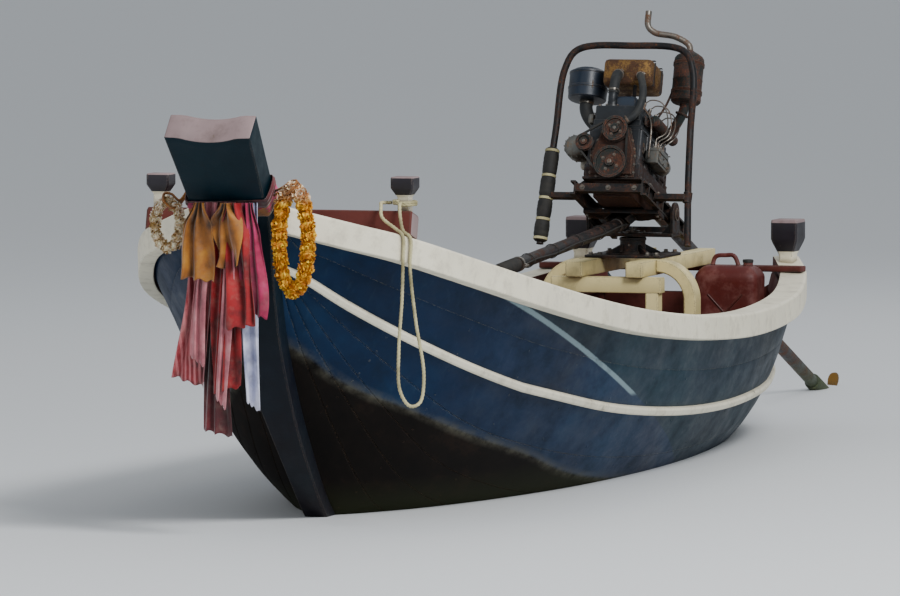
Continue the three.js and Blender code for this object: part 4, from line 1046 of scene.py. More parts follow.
for side, label in SIDES:
    foot = Vector((BOW_POST_FOOT.x, side * BOW_POST_Y, BOW_POST_FOOT.z - 0.022))
    post(f"bow_post_{label}", foot, [
        (0.0, 0.027, 0, 0.005), (0.088, 0.027, 0, 0.005), (0.096, 0.029, 0, 0.005), (0.102, 0.034, 0, 0.005),
        (0.104, 0.035, 1, 0.005), (0.124, 0.047, 1, 0.007), (0.133, 0.0515, 1, 0.007),
        (0.175, 0.0515, 1, 0.007), (0.18, 0.0485, 2, 0.005),
    ], 1.0, [CREAM, DARK_TIP, PINK_TOP], "cream_paint")
    rail = skin(section_at(STERN_POST_X), 1)
    foot = Vector((STERN_POST_X, side * (rail.y - 0.03), rail.z + RAIL_TOP - 0.006))
    post(f"stern_post_{label}", foot, [
        (-0.002, 0.044, 0, 0.006), (0.034, 0.044, 0, 0.006), (0.046, 0.047, 0, 0.006),
        (0.058, 0.054, 0, 0.007), (0.06, 0.055, 1, 0.007), (0.105, 0.078, 1, 0.008),
        (0.121, 0.0835, 1, 0.008), (0.2, 0.0835, 1, 0.008), (0.211, 0.082, 2, 0.007),
        (0.215, 0.079, 2, 0.006),
    ], 0.8, [CREAM, DARK_TIP, PINK_TOP], "dark_tip")


def bearers_and_knees():
    for side, label in SIDES:
        shape = Shape()
        y = side * 0.15
        shape.slab((-3.31, y - 0.042, BEARER_UNDER + GAP), (-1.985, y + 0.042, BEARER_TOP), 0.006)
        shape.made(f"engine_bearer_{label}_timber", YELLOWED, "cream_paint", [f"engine_bearer_{label}"], 30)
        shape = Shape()
        inner, outer = 0.136, 0.196
        cy, cz = 0.195, BEARER_TOP - outer
        section = [(outer - 0.005, 0), (outer, 0.005), (outer, 0.095), (outer - 0.005, 0.1)]
        section += [(inner + 0.005, 0.1), (inner, 0.095), (inner, 0.005), (inner + 0.005, 0)]
        rings = [
            [(-2.33 + e, side * (cy + r * cos(a)), cz + r * sin(a)) for r, e in section]
            for a in spaced(pi / 2, 0, 19)
        ]
        drop = [(x, y, STERN_DECK_TOP + GAP) for x, y, z in rings[-1]]
        rings += [[(x, y, cz - 0.1) for x, y, z in drop], drop]
        shape.loft(rings)
        shape.made(f"bed_knee_{label}_timber", YELLOWED, "cream_paint", [f"bed_knee_{label}"], 30)


bearers_and_knees()

for name, finish in (("keel", BOTTOM), ("floor_timbers", OXIDE)):
    for slot in nodes[name].material_slots:
        slot.material = finish


# Rope hitched to the port bow post, its bight hanging over the side
ROPE_FIBRE = rope_fibre("rope fibre", "cfc79a", "8c8460")
ROPE_RADIUS = 0.008
HITCH_RADIUS = 0.056
STRAND_POINTS = 12


def over_rail(x, outwards, up):
    at = skin(section_at(x), 1)
    return (x, at.y + outwards, at.z + up)


def rope_points():
    foot = BOW_POST_FOOT
    top = RAIL_TOP + ROPE_RADIUS + 0.004
    hitch = foot.z + 0.045
    return [
        (foot.x + HITCH_RADIUS + 0.004, BOW_POST_Y, hitch),
        (3.104, 0.558, hitch - 0.004),
        (3.126, 0.566, hitch - 0.046),
        over_rail(3.134, RAIL_OUT - 0.018, top + 0.006),
        over_rail(3.136, RAIL_OUT + 0.015, top - 0.022),
        over_rail(3.138, RAIL_OUT + 0.016, -0.110),
        over_rail(3.124, RAIL_OUT + 0.030, -0.330),
        over_rail(3.100, RAIL_OUT + 0.048, -0.560),
        over_rail(3.112, RAIL_OUT + 0.040, -0.680),
        over_rail(3.160, RAIL_OUT + 0.034, -0.706),
        over_rail(3.206, RAIL_OUT + 0.030, -0.650),
        over_rail(3.208, RAIL_OUT + 0.026, -0.480),
        over_rail(3.186, RAIL_OUT + 0.020, -0.260),
        over_rail(3.176, RAIL_OUT + 0.016, -0.100),
        over_rail(3.176, RAIL_OUT + 0.015, top - 0.022),
        over_rail(3.174, RAIL_OUT - 0.018, top + 0.006),
        (3.150, 0.492, hitch - 0.056),
        (3.118, 0.478, hitch - 0.008),
        (3.060, 0.462, hitch),
        (3.020, 0.472, hitch),
        (foot.x, BOW_POST_Y - HITCH_RADIUS - 0.004, hitch),
    ]


def laid_rope(shape, path, radius, lay=0.05):
    """Three strands laid up: a lobed section that turns once in each lay. Gives the length."""
    path = [Vector(p) for p in path]
    angles = [tau * k / STRAND_POINTS for k in range(STRAND_POINTS)]
    rings, gone = [], 0.0
    for i, (p, side, up) in enumerate(carried(path)):
        gone += (p - path[max(i - 1, 0)]).length
        turn = tau * gone / lay
        rings.append([
            p + (side * cos(a) + up * sin(a)) * radius * (0.88 + 0.12 * cos(3 * (a - turn)))
            for a in angles
        ])
    shape.loft(rings)
    return gone


def rope():
    path = smooth_path(rope_points(), 620)
    shape = Shape()
    length = laid_rope(shape, path, ROPE_RADIUS)
    loop = shape.made("rope_bight", ROPE_FIBRE, "rope", ["rope_loop"], 180)
    foot = BOW_POST_FOOT
    turns = []
    for i in range(181):
        a = radians(-20 + i * 4)
        r = 0.0475 + 0.0005 * sin(3 * a)
        z = foot.z + 0.037 + 0.0165 * i / 180
        turns.append((foot.x + r * cos(a), BOW_POST_Y + r * sin(a), z))
    shape = Shape()
    laid_rope(shape, turns, ROPE_RADIUS)
    hitch = shape.made("rope_turns", ROPE_FIBRE, "rope", ["rope_hitch"], 180)
    tuple(path[0])
    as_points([tuple(p) for p in path[::4]] + [tuple(path[-1])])


rope()


# Engine group: its own frame, with X up along the crank and the shaft
BLOCK_BACK, BLOCK_FRONT, BLOCK_TOP = -0.07, 0.42, 0.325
COVER_TOP = BLOCK_TOP + 0.16
PULLEYS = [(0.0, 0.0, 0.080), (0.010, 0.168, 0.062), (-0.138, 0.100, 0.042)]
STEEL = old_metal("painted steel", "17191b", "44281a", 0.45, 0.5, metallic=0.5)
BRIGHT = old_metal("worn steel", "77736c", "6b4528", 0.4, 0.38)
ENGINE_IRON = engine_paint("engine iron", "1b2127", "301d17")
RUSTY = old_metal("rusty iron", "201915", "44271a", 0.8, 0.75, metallic=0.3)
SOOTY = old_metal("sooty iron", "16211f", "553224", 0.5, 0.7, metallic=0.25)
ALLOY = old_metal("dull alloy", "70716d", "6d5c48", 0.35, 0.5)
BLUE_BLACK = old_paint("blue black enamel", "182636", "46403b", "14110f", 0.4, 0.4)
TANK_BRASS = old_metal("tarnished brass", "8c6a38", "4e3320", 0.6, 0.5, metallic=0.7)
RUBBER = old_rubber("old rubber", "161615", "4a463f")
HOSE = old_rubber("hose rubber", "1c1f21", "55524a")
BRONZE = old_metal("bronze", "9a7338", "3d4a34", 0.35, 0.35)
FILTER_PAINT = old_paint("filter paint", "b9b4a4", "5a544a", "2a241e", 0.35, 0.5)


def bolt_row(shape, start, stop, count, axis, across=0.014, finish=0):
    shares = [i / (count - 1) for i in range(count)]
    shape.bolts([Vector(start).lerp(Vector(stop), share) for share in shares], axis, across, finish)


def bolt_circle(shape, centre, axis, radius, count, across=0.013, finish=0, start=0.0):
    axis = Vector(axis).normalized()
    shape.bolts([Vector(centre) + way * radius for way in spokes(axis, count, start)], axis, across, finish)


def hose(shape, points, radius, finish, clamp_finish, count=26):
    """A hose on its two stubs, with a worm clip near each end."""
    path = smooth_path(points, count)
    shape.tube(path, [radius * 1.05 if i < 2 or i > count - 3 else radius for i in range(count)], 14, finish)
    for i, j in ((1, 2), (count - 2, count - 3)):
        along = (path[j] - path[i]).normalized()
        at = path[i] + along * 0.004
        shape.lathed([
            (0, radius * 1.02), (0.001, radius * 1.12), (0.011, radius * 1.12), (0.012, radius * 1.02),
        ], at, along, 18, clamp_finish)
        side = along.orthogonal().normalized()
        shape.turned([(-8, 4), (8, 4)], at + along * 0.006 + side * radius * 1.2, along.cross(side), 8,
                     clamp_finish)


def turret():
    shape = Shape()
    x, low = PIVOT.x, BEARER_TOP + GAP
    shape.slab((x - 0.19, -0.19, low), (x + 0.19, 0.19, 0.889), 0.003)
    shape.turned([
        (0, 74), (10, 74), (14, 62), (62, 62), (66, 66), (76, 66), (79, 62),
    ], (x, 0, 0.889), UP, 36)
    for k in range(4):
        a = radians(45 + 90 * k)
        out, across = Vector((cos(a), sin(a), 0)), Vector((-sin(a), cos(a), 0))
        foot = Vector((x, 0, 0.888))
        rings = []
        for t in (-0.006, 0.006):
            rings.append([
                foot + across * t + out * r + Vector((0, 0, z))
                for r, z in ((0.055, 0), (0.148, 0), (0.148, 0.008), (0.064, 0.047), (0.055, 0.047))
            ])
        shape.loft(rings)
    spots = [(x + sx * 0.165, sy * y, 0.889) for sx in (-1, 1) for sy in (-1, 1) for y in (0.165, 0.12)]
    shape.bolts(spots, UP, 0.021, 1)
    shape.turned([(0, 5), (6, 5), (8, 3.5), (12, 4)], (x + 0.06, 0, 0.93), (1, 0, 0.3), 10, 1)
    shape.made("turret", [STEEL, BRIGHT], "steel", ["turret_base"])


def yoke():
    shape = Shape("swivel")
    x, low, reach = PIVOT.x, 0.974, 0.219
    shape.slab((x - 0.075, -reach, low), (x + 0.075, reach, low + 0.016), 0.003)
    for side in (-1, 1):
        y0, y1 = sorted((side * 0.205, side * 0.219))
        outline = [(-0.06, low + 0.008), (0.06, low + 0.008)]
        outline += [(0.06 * cos(a), PIVOT.z + 0.06 * sin(a)) for a in spaced(0, pi, 19)]
        e = 0.002
        rings = []
        for y, inset in ((y0, e), (y0 + e, 0), (y1 - e, 0), (y1, e)):
            rings.append([
                (x + px * (1 - inset / 0.06), y, PIVOT.z + (pz - PIVOT.z) * (1 - inset / 0.09))
                for px, pz in outline
            ])
        shape.loft(rings)
        inner = side * 0.205
        web = [(inner, 0.988), (inner - side * 0.05, 0.988), (inner, 1.045)]
        for px in (-0.045, 0.045):
            shape.loft([[(x + px + t, y, z) for y, z in web] for t in (-0.004, 0.004)])
    shape.turned([(0, 32), (2, 34), (8, 34), (10, 32)], (x, 0, 0.9895), UP, 24, 1)
    shape.hexagon((x, 0, 0.999), UP, 0.036, 0.016, 1)
    bolt_circle(shape, (x, 0, 0.9895), UP, 0.056, 6, 0.012, 1)
    shape.made("swivel", [STEEL, BRIGHT], "steel", ["swivel_yoke"])


def cradle():
    shape = Shape("engine")
    back, front = -0.33, 0.46
    for side in (-1, 1):
        y = [
            (0.165, -0.034), (0.191, -0.034), (0.191, -0.025), (0.172, -0.025), (0.172, 0.025),
            (0.191, 0.025), (0.191, 0.034), (0.165, 0.034),
        ]
        shape.loft([[(x, side * a, z) for a, z in y] for x in (back, front)])
        shape.turned([(0, 34), (1, 36), (28, 36), (28.5, 19.5), (55, 19.5), (58, 17)],
                     (0, side * 0.1725, 0), (0, side, 0), 30)
        shape.turned([(0, 30), (1, 31), (3.5, 31), (4.5, 30)], (0, side * 0.2194, 0), (0, side, 0), 26, 1)
        shape.turned([(-26, 2.2), (26, 2.2)], (0, side * 0.226, 0), (0.4, 0, 1), 8, 1)
        for x in (-0.25, 0.14, 0.26, 0.4):
            shape.slab((x - 0.003, side * 0.172, -0.026), (x + 0.003, side * 0.19, 0.026), 0.0005)
        for x in (0.0, 0.33):
            shape.bolts([(x - 0.018, side * 0.178, 0.034), (x + 0.018, side * 0.178, 0.034)], UP, 0.012, 1)
    for a, b in ((back, back + 0.045), (front - 0.045, front)):
        shape.slab((a, -0.166, -0.02), (b, 0.166, 0.02), 0.002)
    bolt_row(shape, (front, -0.13, 0), (front, 0.13, 0), 3, AHEAD, 0.015, 1)
    shape.made("cradle_frame", [STEEL, BRIGHT], "steel", ["cradle"])


def block():
    shape = Shape("engine")
    shape.slab((BLOCK_BACK, -0.124, CRANK_Z - 0.04), (BLOCK_FRONT, 0.124, BLOCK_TOP - 0.012), 0.008)
    shape.slab((BLOCK_BACK, -0.13, BLOCK_TOP - 0.02), (BLOCK_FRONT, 0.13, BLOCK_TOP), 0.003)
    shape.slab((BLOCK_BACK, -0.144, CRANK_Z - 0.06), (BLOCK_FRONT, 0.144, CRANK_Z + 0.01), 0.01)
    shape.slab((BLOCK_BACK, -0.148, CRANK_Z - 0.07), (BLOCK_FRONT, 0.148, CRANK_Z - 0.058), 0.002)
    for side in (-1, 1):
        for x in spaced(BLOCK_BACK + 0.02, BLOCK_FRONT - 0.02, 5):
            shape.turned([(0, 16), (170, 13)], (x, side * 0.121, CRANK_Z + 0.008), UP, 12)
        for x in spaced(0.0, 0.35, 4):
            spot = (x, side * 0.1235, CRANK_Z + 0.105)
            shape.turned([(0, 27), (3.5, 26), (3.6, 21), (1, 19), (0, 1)], spot, (0, side, 0), 22, 1)
        shape.turned([(0, 11), (450, 11)], (BLOCK_BACK + 0.02, side * 0.124, CRANK_Z + 0.052), AHEAD, 12)
        y, z = side * 0.141, CRANK_Z - 0.0585
        bolt_row(shape, (BLOCK_BACK + 0.02, y, z), (BLOCK_FRONT - 0.02, y, z), 9, UP, 0.009, 1)
    shape.made("engine_casting", [ENGINE_IRON, BRIGHT], "engine_iron", ["engine_block"], 34)

    shape = Shape("engine")
    rings = []
    for z, e in (
        (CRANK_Z - 0.06, 0.0), (CRANK_Z - 0.066, 0.0), (CRANK_Z - 0.072, 0.012), (CRANK_Z - 0.1, 0.014),
        (CRANK_Z - 0.104, 0.017), (CRANK_Z - 0.144, 0.02), (CRANK_Z - 0.15, 0.03),
    ):
        rings.append([(x, y, z) for x, y in cut_corners(-0.055 + e, 0.395 - e, e - 0.122, 0.122 - e, 0.02)])
    shape.loft(rings)
    shape.hexagon((0.02, 0, CRANK_Z - 0.149), (0, 0, -1), 0.026, 0.01, 1)
    shape.made("oil_pan", [RUSTY, BRIGHT], "engine_fittings")

    shape = Shape("engine")
    for side in (-1, 1):
        for x in (0.0, 0.33):
            shape.slab((x - 0.03, side * 0.12, 0.0345), (x + 0.03, side * 0.188, 0.042), 0.002)
            y = 0.184 if side > 0 else -0.188
            shape.slab((x - 0.028, side * 0.12, 0.042), (x + 0.028, y, 0.047), 0.002, 2)
            for t in (-0.026, 0.02):
                gusset = ((0.12, 0.045), (0.182, 0.045), (0.14, 0.075), (0.12, 0.075))
                shape.loft([[(x + t + u, side * y, z) for y, z in gusset] for u in (0, 0.006)])
            shape.bolts([(x, side * 0.168, 0.047)], UP, 0.018, 1)
    shape.made("engine_feet", [STEEL, BRIGHT, RUBBER], "engine_fittings")


def starter_and_filter():
    shape = Shape("engine")
    y, z, x = -0.182, CRANK_Z + 0.02, BLOCK_BACK + 0.004
    shape.turned([
        (0, 26), (2, 38), (30, 40), (34, 44), (36, 44), (150, 44), (152, 41),
        (160, 41), (162, 44), (178, 43), (186, 36), (186, 12), (189, 10),
    ], (x, y, z), AHEAD, 32)
    shape.turned([(158, 45), (159, 46), (170, 46), (171, 45)], (x, y, z), AHEAD, 32, 1)
    for a in (0.7, 3.8):
        shape.turned([(0, 3), (186, 3)], (x, y + 0.046 * cos(a), z + 0.046 * sin(a)), AHEAD, 8, 1)
    shape.turned([
        (0, 18), (4, 23), (75, 23), (77, 21), (100, 21), (106, 16),
    ], (BLOCK_BACK + 0.014, -0.19, CRANK_Z + 0.082), AHEAD, 24)
    for dy in (-0.009, 0.009):
        shape.turned([(0, 4), (18, 4)], (BLOCK_BACK + 0.118, -0.19 + dy, CRANK_Z + 0.086), AHEAD, 8, 1)
        shape.hexagon((BLOCK_BACK + 0.122, -0.19 + dy, CRANK_Z + 0.086), AHEAD, 0.011, 0.006, 1)
    shape.slab((BLOCK_BACK + 0.02, -0.2, CRANK_Z - 0.01), (BLOCK_BACK + 0.05, -0.14, CRANK_Z + 0.095), 0.006)
    shape.made("starter_motor", [SOOTY, BRIGHT], "engine_fittings")

    shape = Shape("engine")
    shape.turned([
        (0, 30), (3, 37), (10, 41), (20, 42), (98, 42), (102, 40), (110, 40),
    ], (0.24, -0.172, CRANK_Z + 0.025), UP, 36)
    shape.turned([(110, 43), (112, 46), (122, 46), (124, 43)], (0.24, -0.172, CRANK_Z + 0.019), UP, 30, 1)
    shape.slab((0.205, -0.19, CRANK_Z + 0.137), (0.275, -0.122, CRANK_Z + 0.165), 0.006, 1)
    shape.bolts([(0.215, -0.18, CRANK_Z + 0.165), (0.265, -0.18, CRANK_Z + 0.165)], UP, 0.013, 2)
    shape.made("oil_filter", [FILTER_PAINT, ALLOY, BRIGHT], "engine_fittings")

    shape = Shape("engine")
    stick = [(0.33, -0.13, 0.15), (0.335, -0.15, 0.2), (0.335, -0.152, 0.3), (0.33, -0.14, 0.39)]
    shape.tube(smooth_path(stick, 18), 0.0045, 8)
    ring = [(0.33 + 0.011 * sin(a), -0.14, 0.401 - 0.011 * cos(a)) for a in spaced(0, tau, 17)[:-1]]
    shape.tube(ring, 0.002, 6, closed=True)
    hose(shape, [
        (0.048, -0.181, 0.211), (0.06, -0.2, 0.235), (0.02, -0.21, 0.3), (-0.04, -0.16, 0.33),
        (-0.062, -0.09, 0.31),
    ], 0.007, 1, 0, 30)
    shape.made("dipstick_and_cable", [BRIGHT, RUBBER], "engine_fittings")


INJECTOR_XS = spaced(0.03, 0.33, 4)
OUTLET_XS = spaced(0.175, 0.305, 4)


def injection_pump():
    shape = Shape("engine")
    low = CRANK_Z + 0.04
    shape.slab((0.15, 0.128, low), (0.33, 0.196, low + 0.062), 0.006)
    shape.slab((0.156, 0.14, low + 0.06), (0.324, 0.2, low + 0.08), 0.004)
    shape.slab((0.165, 0.196, low + 0.012), (0.315, 0.2, low + 0.05), 0.0015)
    bolt_row(shape, (0.172, 0.2, low + 0.018), (0.308, 0.2, low + 0.018), 3, (0, 1, 0), 0.008, 1)
    bolt_row(shape, (0.172, 0.2, low + 0.044), (0.308, 0.2, low + 0.044), 3, (0, 1, 0), 0.008, 1)
    shape.turned([
        (0, 44), (4, 44), (6, 42), (40, 40), (50, 38), (56, 32), (60, 24),
    ], (0.155, 0.162, CRANK_Z + 0.075), AFT, 28)
    bolt_circle(shape, (0.151, 0.162, CRANK_Z + 0.075), AFT, 0.039, 6, 0.008, 1)
    shape.turned([(0, 8), (12, 8)], (0.128, 0.162, CRANK_Z + 0.117), UP, 12, 1)
    shape.slab((0.122, 0.158, CRANK_Z + 0.128), (0.128, 0.198, CRANK_Z + 0.133), 0.001, 1)
    for x in OUTLET_XS:
        shape.hexagon((x, 0.172, low + 0.079), UP, 0.018, 0.014, 1)
        shape.turned([(0, 7.5), (12, 7.5), (13, 6)], (x, 0.172, low + 0.092), UP, 12, 1)
        shape.hexagon((x, 0.172, low + 0.102), UP, 0.014, 0.01, 1)
    shape.made("injection_pump", [ALLOY, BRIGHT], "engine_fittings")

    shape = Shape("engine")
    for x, top_x in zip(OUTLET_XS, INJECTOR_XS):
        path = smooth_path([
            (x, 0.172, low + 0.11), (x, 0.174, low + 0.125), (x - 0.01, 0.214, low + 0.16),
            ((x + top_x) / 2, 0.222, 0.4), (top_x, 0.19, 0.466), (top_x, 0.135, 0.478), (top_x, 0.109, 0.462),
        ], 40)
        shape.tube(path, 0.0032, 8)
    low_line = smooth_path([
        (0.33, 0.15, low + 0.03), (0.37, 0.16, low + 0.02), (0.38, 0.165, low + 0.14), (0.36, 0.15, 0.37),
        (0.33, 0.11, 0.43),
    ], 30)
    shape.tube(low_line, 0.004, 8)
    shape.made("fuel_pipes", BRIGHT, "engine_fittings")


def head():
    shape = Shape("engine")
    low = BLOCK_TOP + GAP
    x0, x1 = BLOCK_BACK + 0.005, BLOCK_FRONT - 0.005
    shape.slab((x0, -0.118, low), (x1, 0.118, low + 0.03), 0.003)
    shape.slab((x0, -0.113, low + 0.028), (x1, 0.113, low + 0.1), 0.006)
    for x in spaced(x0 + 0.03, x1 - 0.03, 5):
        for side in (-1, 1):
            shape.turned([(0, 13), (88, 12)], (x, side * 0.103, low + 0.012), UP, 12)
            shape.bolts([(x, side * 0.101, low + 0.0995)], UP, 0.017, 1)
    for x in INJECTOR_XS:
        shape.turned([(0, 12), (18, 12), (20, 9.5), (36, 9.5), (38, 6)], (x, 0.096, low + 0.099),
                     (0, 0.3, 1), 14, 1)
        shape.hexagon((x, 0.105, low + 0.128), (0, 0.3, 1), 0.014, 0.012, 1)
    shape.turned([(0, 34), (8, 34), (10, 26), (30, 26)], (BLOCK_FRONT - 0.04, -0.04, low + 0.098), UP, 22)
    outlet = smooth_path([(BLOCK_FRONT - 0.04, -0.04, low + 0.11), (BLOCK_FRONT - 0.031, -0.04, low + 0.15),
                          (BLOCK_FRONT - 0.037, -0.04, low + 0.175)], 10)
    shape.tube(outlet, 0.0225, 18)
    bolt_circle(shape, (BLOCK_FRONT - 0.04, -0.04, low + 0.106), UP, 0.03, 3, 0.009, 1, 0.4)
    shape.made("cylinder_head_casting", [ENGINE_IRON, BRIGHT], "engine_iron", ["cylinder_head"], 34)

    shape = Shape("engine")
    x0, x1 = BLOCK_BACK + 0.025, BLOCK_FRONT - 0.025
    rings = []
    for z, y0, y1, e in (
        (low + 0.0995, -0.074, 0.092, 0), (low + 0.104, -0.074, 0.092, 0),
        (low + 0.105, -0.068, 0.086, 0.006), (low + 0.138, -0.066, 0.084, 0.007),
        (COVER_TOP - 0.006, -0.054, 0.072, 0.014), (COVER_TOP - 0.002, -0.048, 0.066, 0.02),
    ):
        rings.append([(x, y, z) for x, y in cut_corners(x0 + e, x1 - e, y0, y1, 0.012)])
    shape.loft(rings)
    for y in spaced(-0.03, 0.045, 4):
        shape.slab(
            (x0 + 0.11, y - 0.003, COVER_TOP - 0.004), (x1 - 0.03, y + 0.003, COVER_TOP + 0.001), 0.0015,
        )
    for y in (-0.0705, 0.0885):
        bolt_row(shape, (x0 + 0.02, y, low + 0.104), (x1 - 0.02, y, low + 0.104), 5, UP, 0.009, 1)
    shape.turned([
        (-2, 20), (6, 20), (7, 27), (9, 28), (20, 28), (23, 26), (26, 20),
    ], (0.04, 0.01, COVER_TOP), UP, 20, 1)
    shape.made("rocker_cover", [BLUE_BLACK, BRIGHT], "engine_iron", smooth_angle=34)


def bell():
    shape = Shape("engine")
    at = (BLOCK_BACK - GAP, 0, CRANK_Z)
    shape.turned([
        (0, 133), (2, 135), (12, 135), (14, 128), (70, 120), (90, 108), (99, 80), (102, 62),
        (184, 53), (187, 56), (189.6, 56),
    ], at, AFT, 44)
    for k in range(8):
        a = tau * (k + 0.5) / 8
        out, across = Vector((0, cos(a), sin(a))), Vector((0, -sin(a), cos(a)))
        rings = []
        for t in (-0.004, 0.004):
            rings.append([
                Vector(at) + across * t + out * r + Vector((-d, 0, 0))
                for d, r in (
                    (0.012, 0.1), (0.012, 0.1335), (0.072, 0.123), (0.13, 0.064), (0.13, 0.05), (0.09, 0.05),
                )
            ])
        shape.loft(rings)
    bolt_circle(shape, (BLOCK_BACK - 0.0124, 0, CRANK_Z), AFT, 0.1295, 12, 0.011, 1)
    shape.made("flywheel_housing", [RUSTY, BRIGHT], "engine_fittings", ["bell_housing"])


def grooved(radius, half, hub):
    """Profile of a belt pulley with one groove and a dished web."""
    return [
        (-0.02, hub), (-half + 0.004, hub), (-half + 0.004, radius - 0.016), (-half, radius - 0.014),
        (-half, radius), (-half + 0.003, radius), (-0.005, radius - 0.009), (0.005, radius - 0.009),
        (half - 0.003, radius), (half, radius), (half, radius - 0.012), (half - 0.008, radius - 0.016),
        (half - 0.01, hub * 1.1), (half - 0.002, hub), (half + 0.004, hub),
    ]


def front_end():
    shape = Shape("engine")
    x = BLOCK_FRONT + GAP
    outline = [
        (-0.112, -0.062), (0.112, -0.062), (0.112, 0.06), (0.075, 0.185), (-0.06, 0.185), (-0.112, 0.06),
    ]
    rings = []
    for d, inset in ((0, 0), (0.006, 0), (0.007, 0.008), (0.02, 0.01), (0.0236, 0.014)):
        k = 1 - inset / 0.11
        rings.append([(x + d, y * k, CRANK_Z + 0.06 + (z - 0.06) * k) for y, z in outline])
    shape.loft(rings)
    for (ya, za), (yb, zb) in zip(outline, outline[1:] + outline[:1]):
        for f in (0.15, 0.5, 0.85):
            y, z = (ya + (yb - ya) * f) * 0.965, 0.06 + (za + (zb - za) * f - 0.06) * 0.965
            shape.bolts([(x + 0.006, y, CRANK_Z + z)], AHEAD, 0.009, 2)
    plane = BLOCK_FRONT + 0.048
    for i, (y, z, r) in enumerate(PULLEYS):
        at = (plane, y, CRANK_Z + z)
        if i < 2:
            shape.turned([(-30, 34), (-22, 34), (-20, 20), (-8, 20)], at, AHEAD, 22)
        shape.lathed(grooved(r, 0.014, 0.016 if i == 2 else 0.022), at, AHEAD, 40, 1)
        shape.hexagon((plane + 0.016, y, CRANK_Z + z), AHEAD, 0.024 if i == 0 else 0.018, 0.006, 2)
        if i < 2:
            bolt_circle(shape, (plane + 0.006, y, CRANK_Z + z), AHEAD, r * 0.5, 4, 0.01, 2, 0.3)
    spots = []
    for y, z, r in PULLEYS:
        spots += [
            (y + (r - 0.001) * cos(a), CRANK_Z + z + (r - 0.001) * sin(a))
            for a in spaced(0, tau, 65)[:-1]
        ]
    from_hull = [spots[i] for i in convex_hull_2d(spots)]
    rings = []
    count = len(from_hull)
    for i, (y, z) in enumerate(from_hull):
        (ya, za), (yb, zb) = from_hull[i - 1], from_hull[(i + 1) % count]
        out = Vector((0, zb - za, ya - yb)).normalized()
        if out.dot(Vector((0, y + 0.04, z - CRANK_Z - 0.09))) < 0:
            out.negate()
        at = Vector((plane, y, z))
        rings.append([
            at + out * a + Vector((b, 0, 0))
            for a, b in ((0.0025, -0.0065), (0.0025, 0.0065), (-0.006, 0.0045), (-0.006, -0.0045))
        ])
    shape.loft(rings, 3, closed=True)
    shape.made("front_drive_parts", [RUSTY, SOOTY, BRIGHT, RUBBER], "engine_fittings", ["front_drive"], 32)


def alternator():
    shape = Shape("engine")
    y, z = PULLEYS[2][0] - 0.066, CRANK_Z + PULLEYS[2][1]
    x = BLOCK_FRONT - 0.13
    shape.turned([
        (0, 30), (2, 46), (8, 53), (30, 56), (32, 58), (40, 58), (41, 55.5), (78, 55.5),
        (79, 58), (86, 58), (88, 56), (108, 53), (116, 45), (120, 28),
    ], (x, y, z), AHEAD, 36)
    for k in range(14):
        a = tau * k / 14
        out = Vector((0, cos(a), sin(a)))
        across = Vector((0, -sin(a), cos(a)))
        fin = [
            out * r + across * t
            for r, t in ((0.03, -0.003), (0.0575, -0.003), (0.0575, 0.003), (0.03, 0.003))
        ]
        for d in (0.012, 0.094):
            shape.loft([[Vector((x + d + u, y, z)) + p for p in fin] for u in (0, 0.014)])
    for lug_y in (y - 0.062, y + 0.062):
        shape.slab((x + 0.034, lug_y - 0.01, z - 0.01), (x + 0.05, lug_y + 0.01, z + 0.01), 0.004)
    shape.slab((x + 0.03, -0.19, z - 0.018), (x + 0.07, -0.1325, z + 0.018), 0.003, 1)
    shape.bolts([(x + 0.05, -0.172, z + 0.018)], UP, 0.015, 2)
    shape.made("alternator_body", [ALLOY, STEEL, BRIGHT], "engine_fittings", ["alternator"])


def exhaust():
    shape = Shape("engine")
    z, out = BLOCK_TOP + 0.045, 0.236
    shape.turned([(0, 18), (4, 26), (346, 26), (350, 18)], (0, 0.168, z), AHEAD, 24)
    for x in spaced(0.02, 0.33, 4):
        shape.slab((x - 0.026, 0.1186, z - 0.024), (x + 0.026, 0.126, z + 0.024), 0.004)
        shape.turned([(0, 19), (45, 22)], (x, 0.122, z), (0, 1, 0), 18)
        shape.bolts([(x - 0.02, 0.126, z + 0.017), (x + 0.02, 0.126, z - 0.017)], (0, 1, 0), 0.011, 1)
    riser = smooth_path([
        (0.08, 0.168, z), (0.08, 0.2, z + 0.06), (0.08, 0.226, z + 0.12), (0.08, out, z + 0.18),
    ], 22)
    shape.tube(riser, 0.0235, 20)
    shape.turned([(0, 30), (1, 34), (8, 34), (9, 30)], riser[13], riser[14] - riser[13], 20, 1)
    low = z + 0.165
    shape.turned([
        (0, 24), (2, 50), (6, 66), (14, 73), (20, 72.5), (24, 74), (28, 72.5),
        (118, 72.2), (120, 73.5), (124, 73.5), (126, 72.2), (212, 72.5), (216, 74), (220, 72.5),
        (228, 72), (240, 64), (256, 40), (266, 22), (270, 17),
    ], (0.08, out, low), UP, 40)
    for at in (low + 0.05, low + 0.19):
        shape.turned([(0, 73.5), (0.5, 76.5), (16.5, 76.5), (17, 73.5)], (0.08, out, at), UP, 40, 1)
    strut = smooth_path([(0.08, out - 0.072, low + 0.06), (0.09, 0.14, 0.52), (0.1, 0.094, 0.43)], 10)
    shape.tube(strut, 0.006, 8, 1)
    tail = smooth_path([
        (0.08, out, z + 0.42), (0.084, out - 0.008, z + 0.462), (0.1, 0.16, z + 0.5),
        (0.118, 0.06, z + 0.515), (0.126, 0.026, z + 0.545), (0.128, 0.022, z + 0.62),
    ], 60)
    shape.tube(tail, 0.0155, 16, 2)
    shape.made("exhaust_pipe", [SOOTY, RUSTY, BRIGHT], "engine_fittings", ["exhaust"])


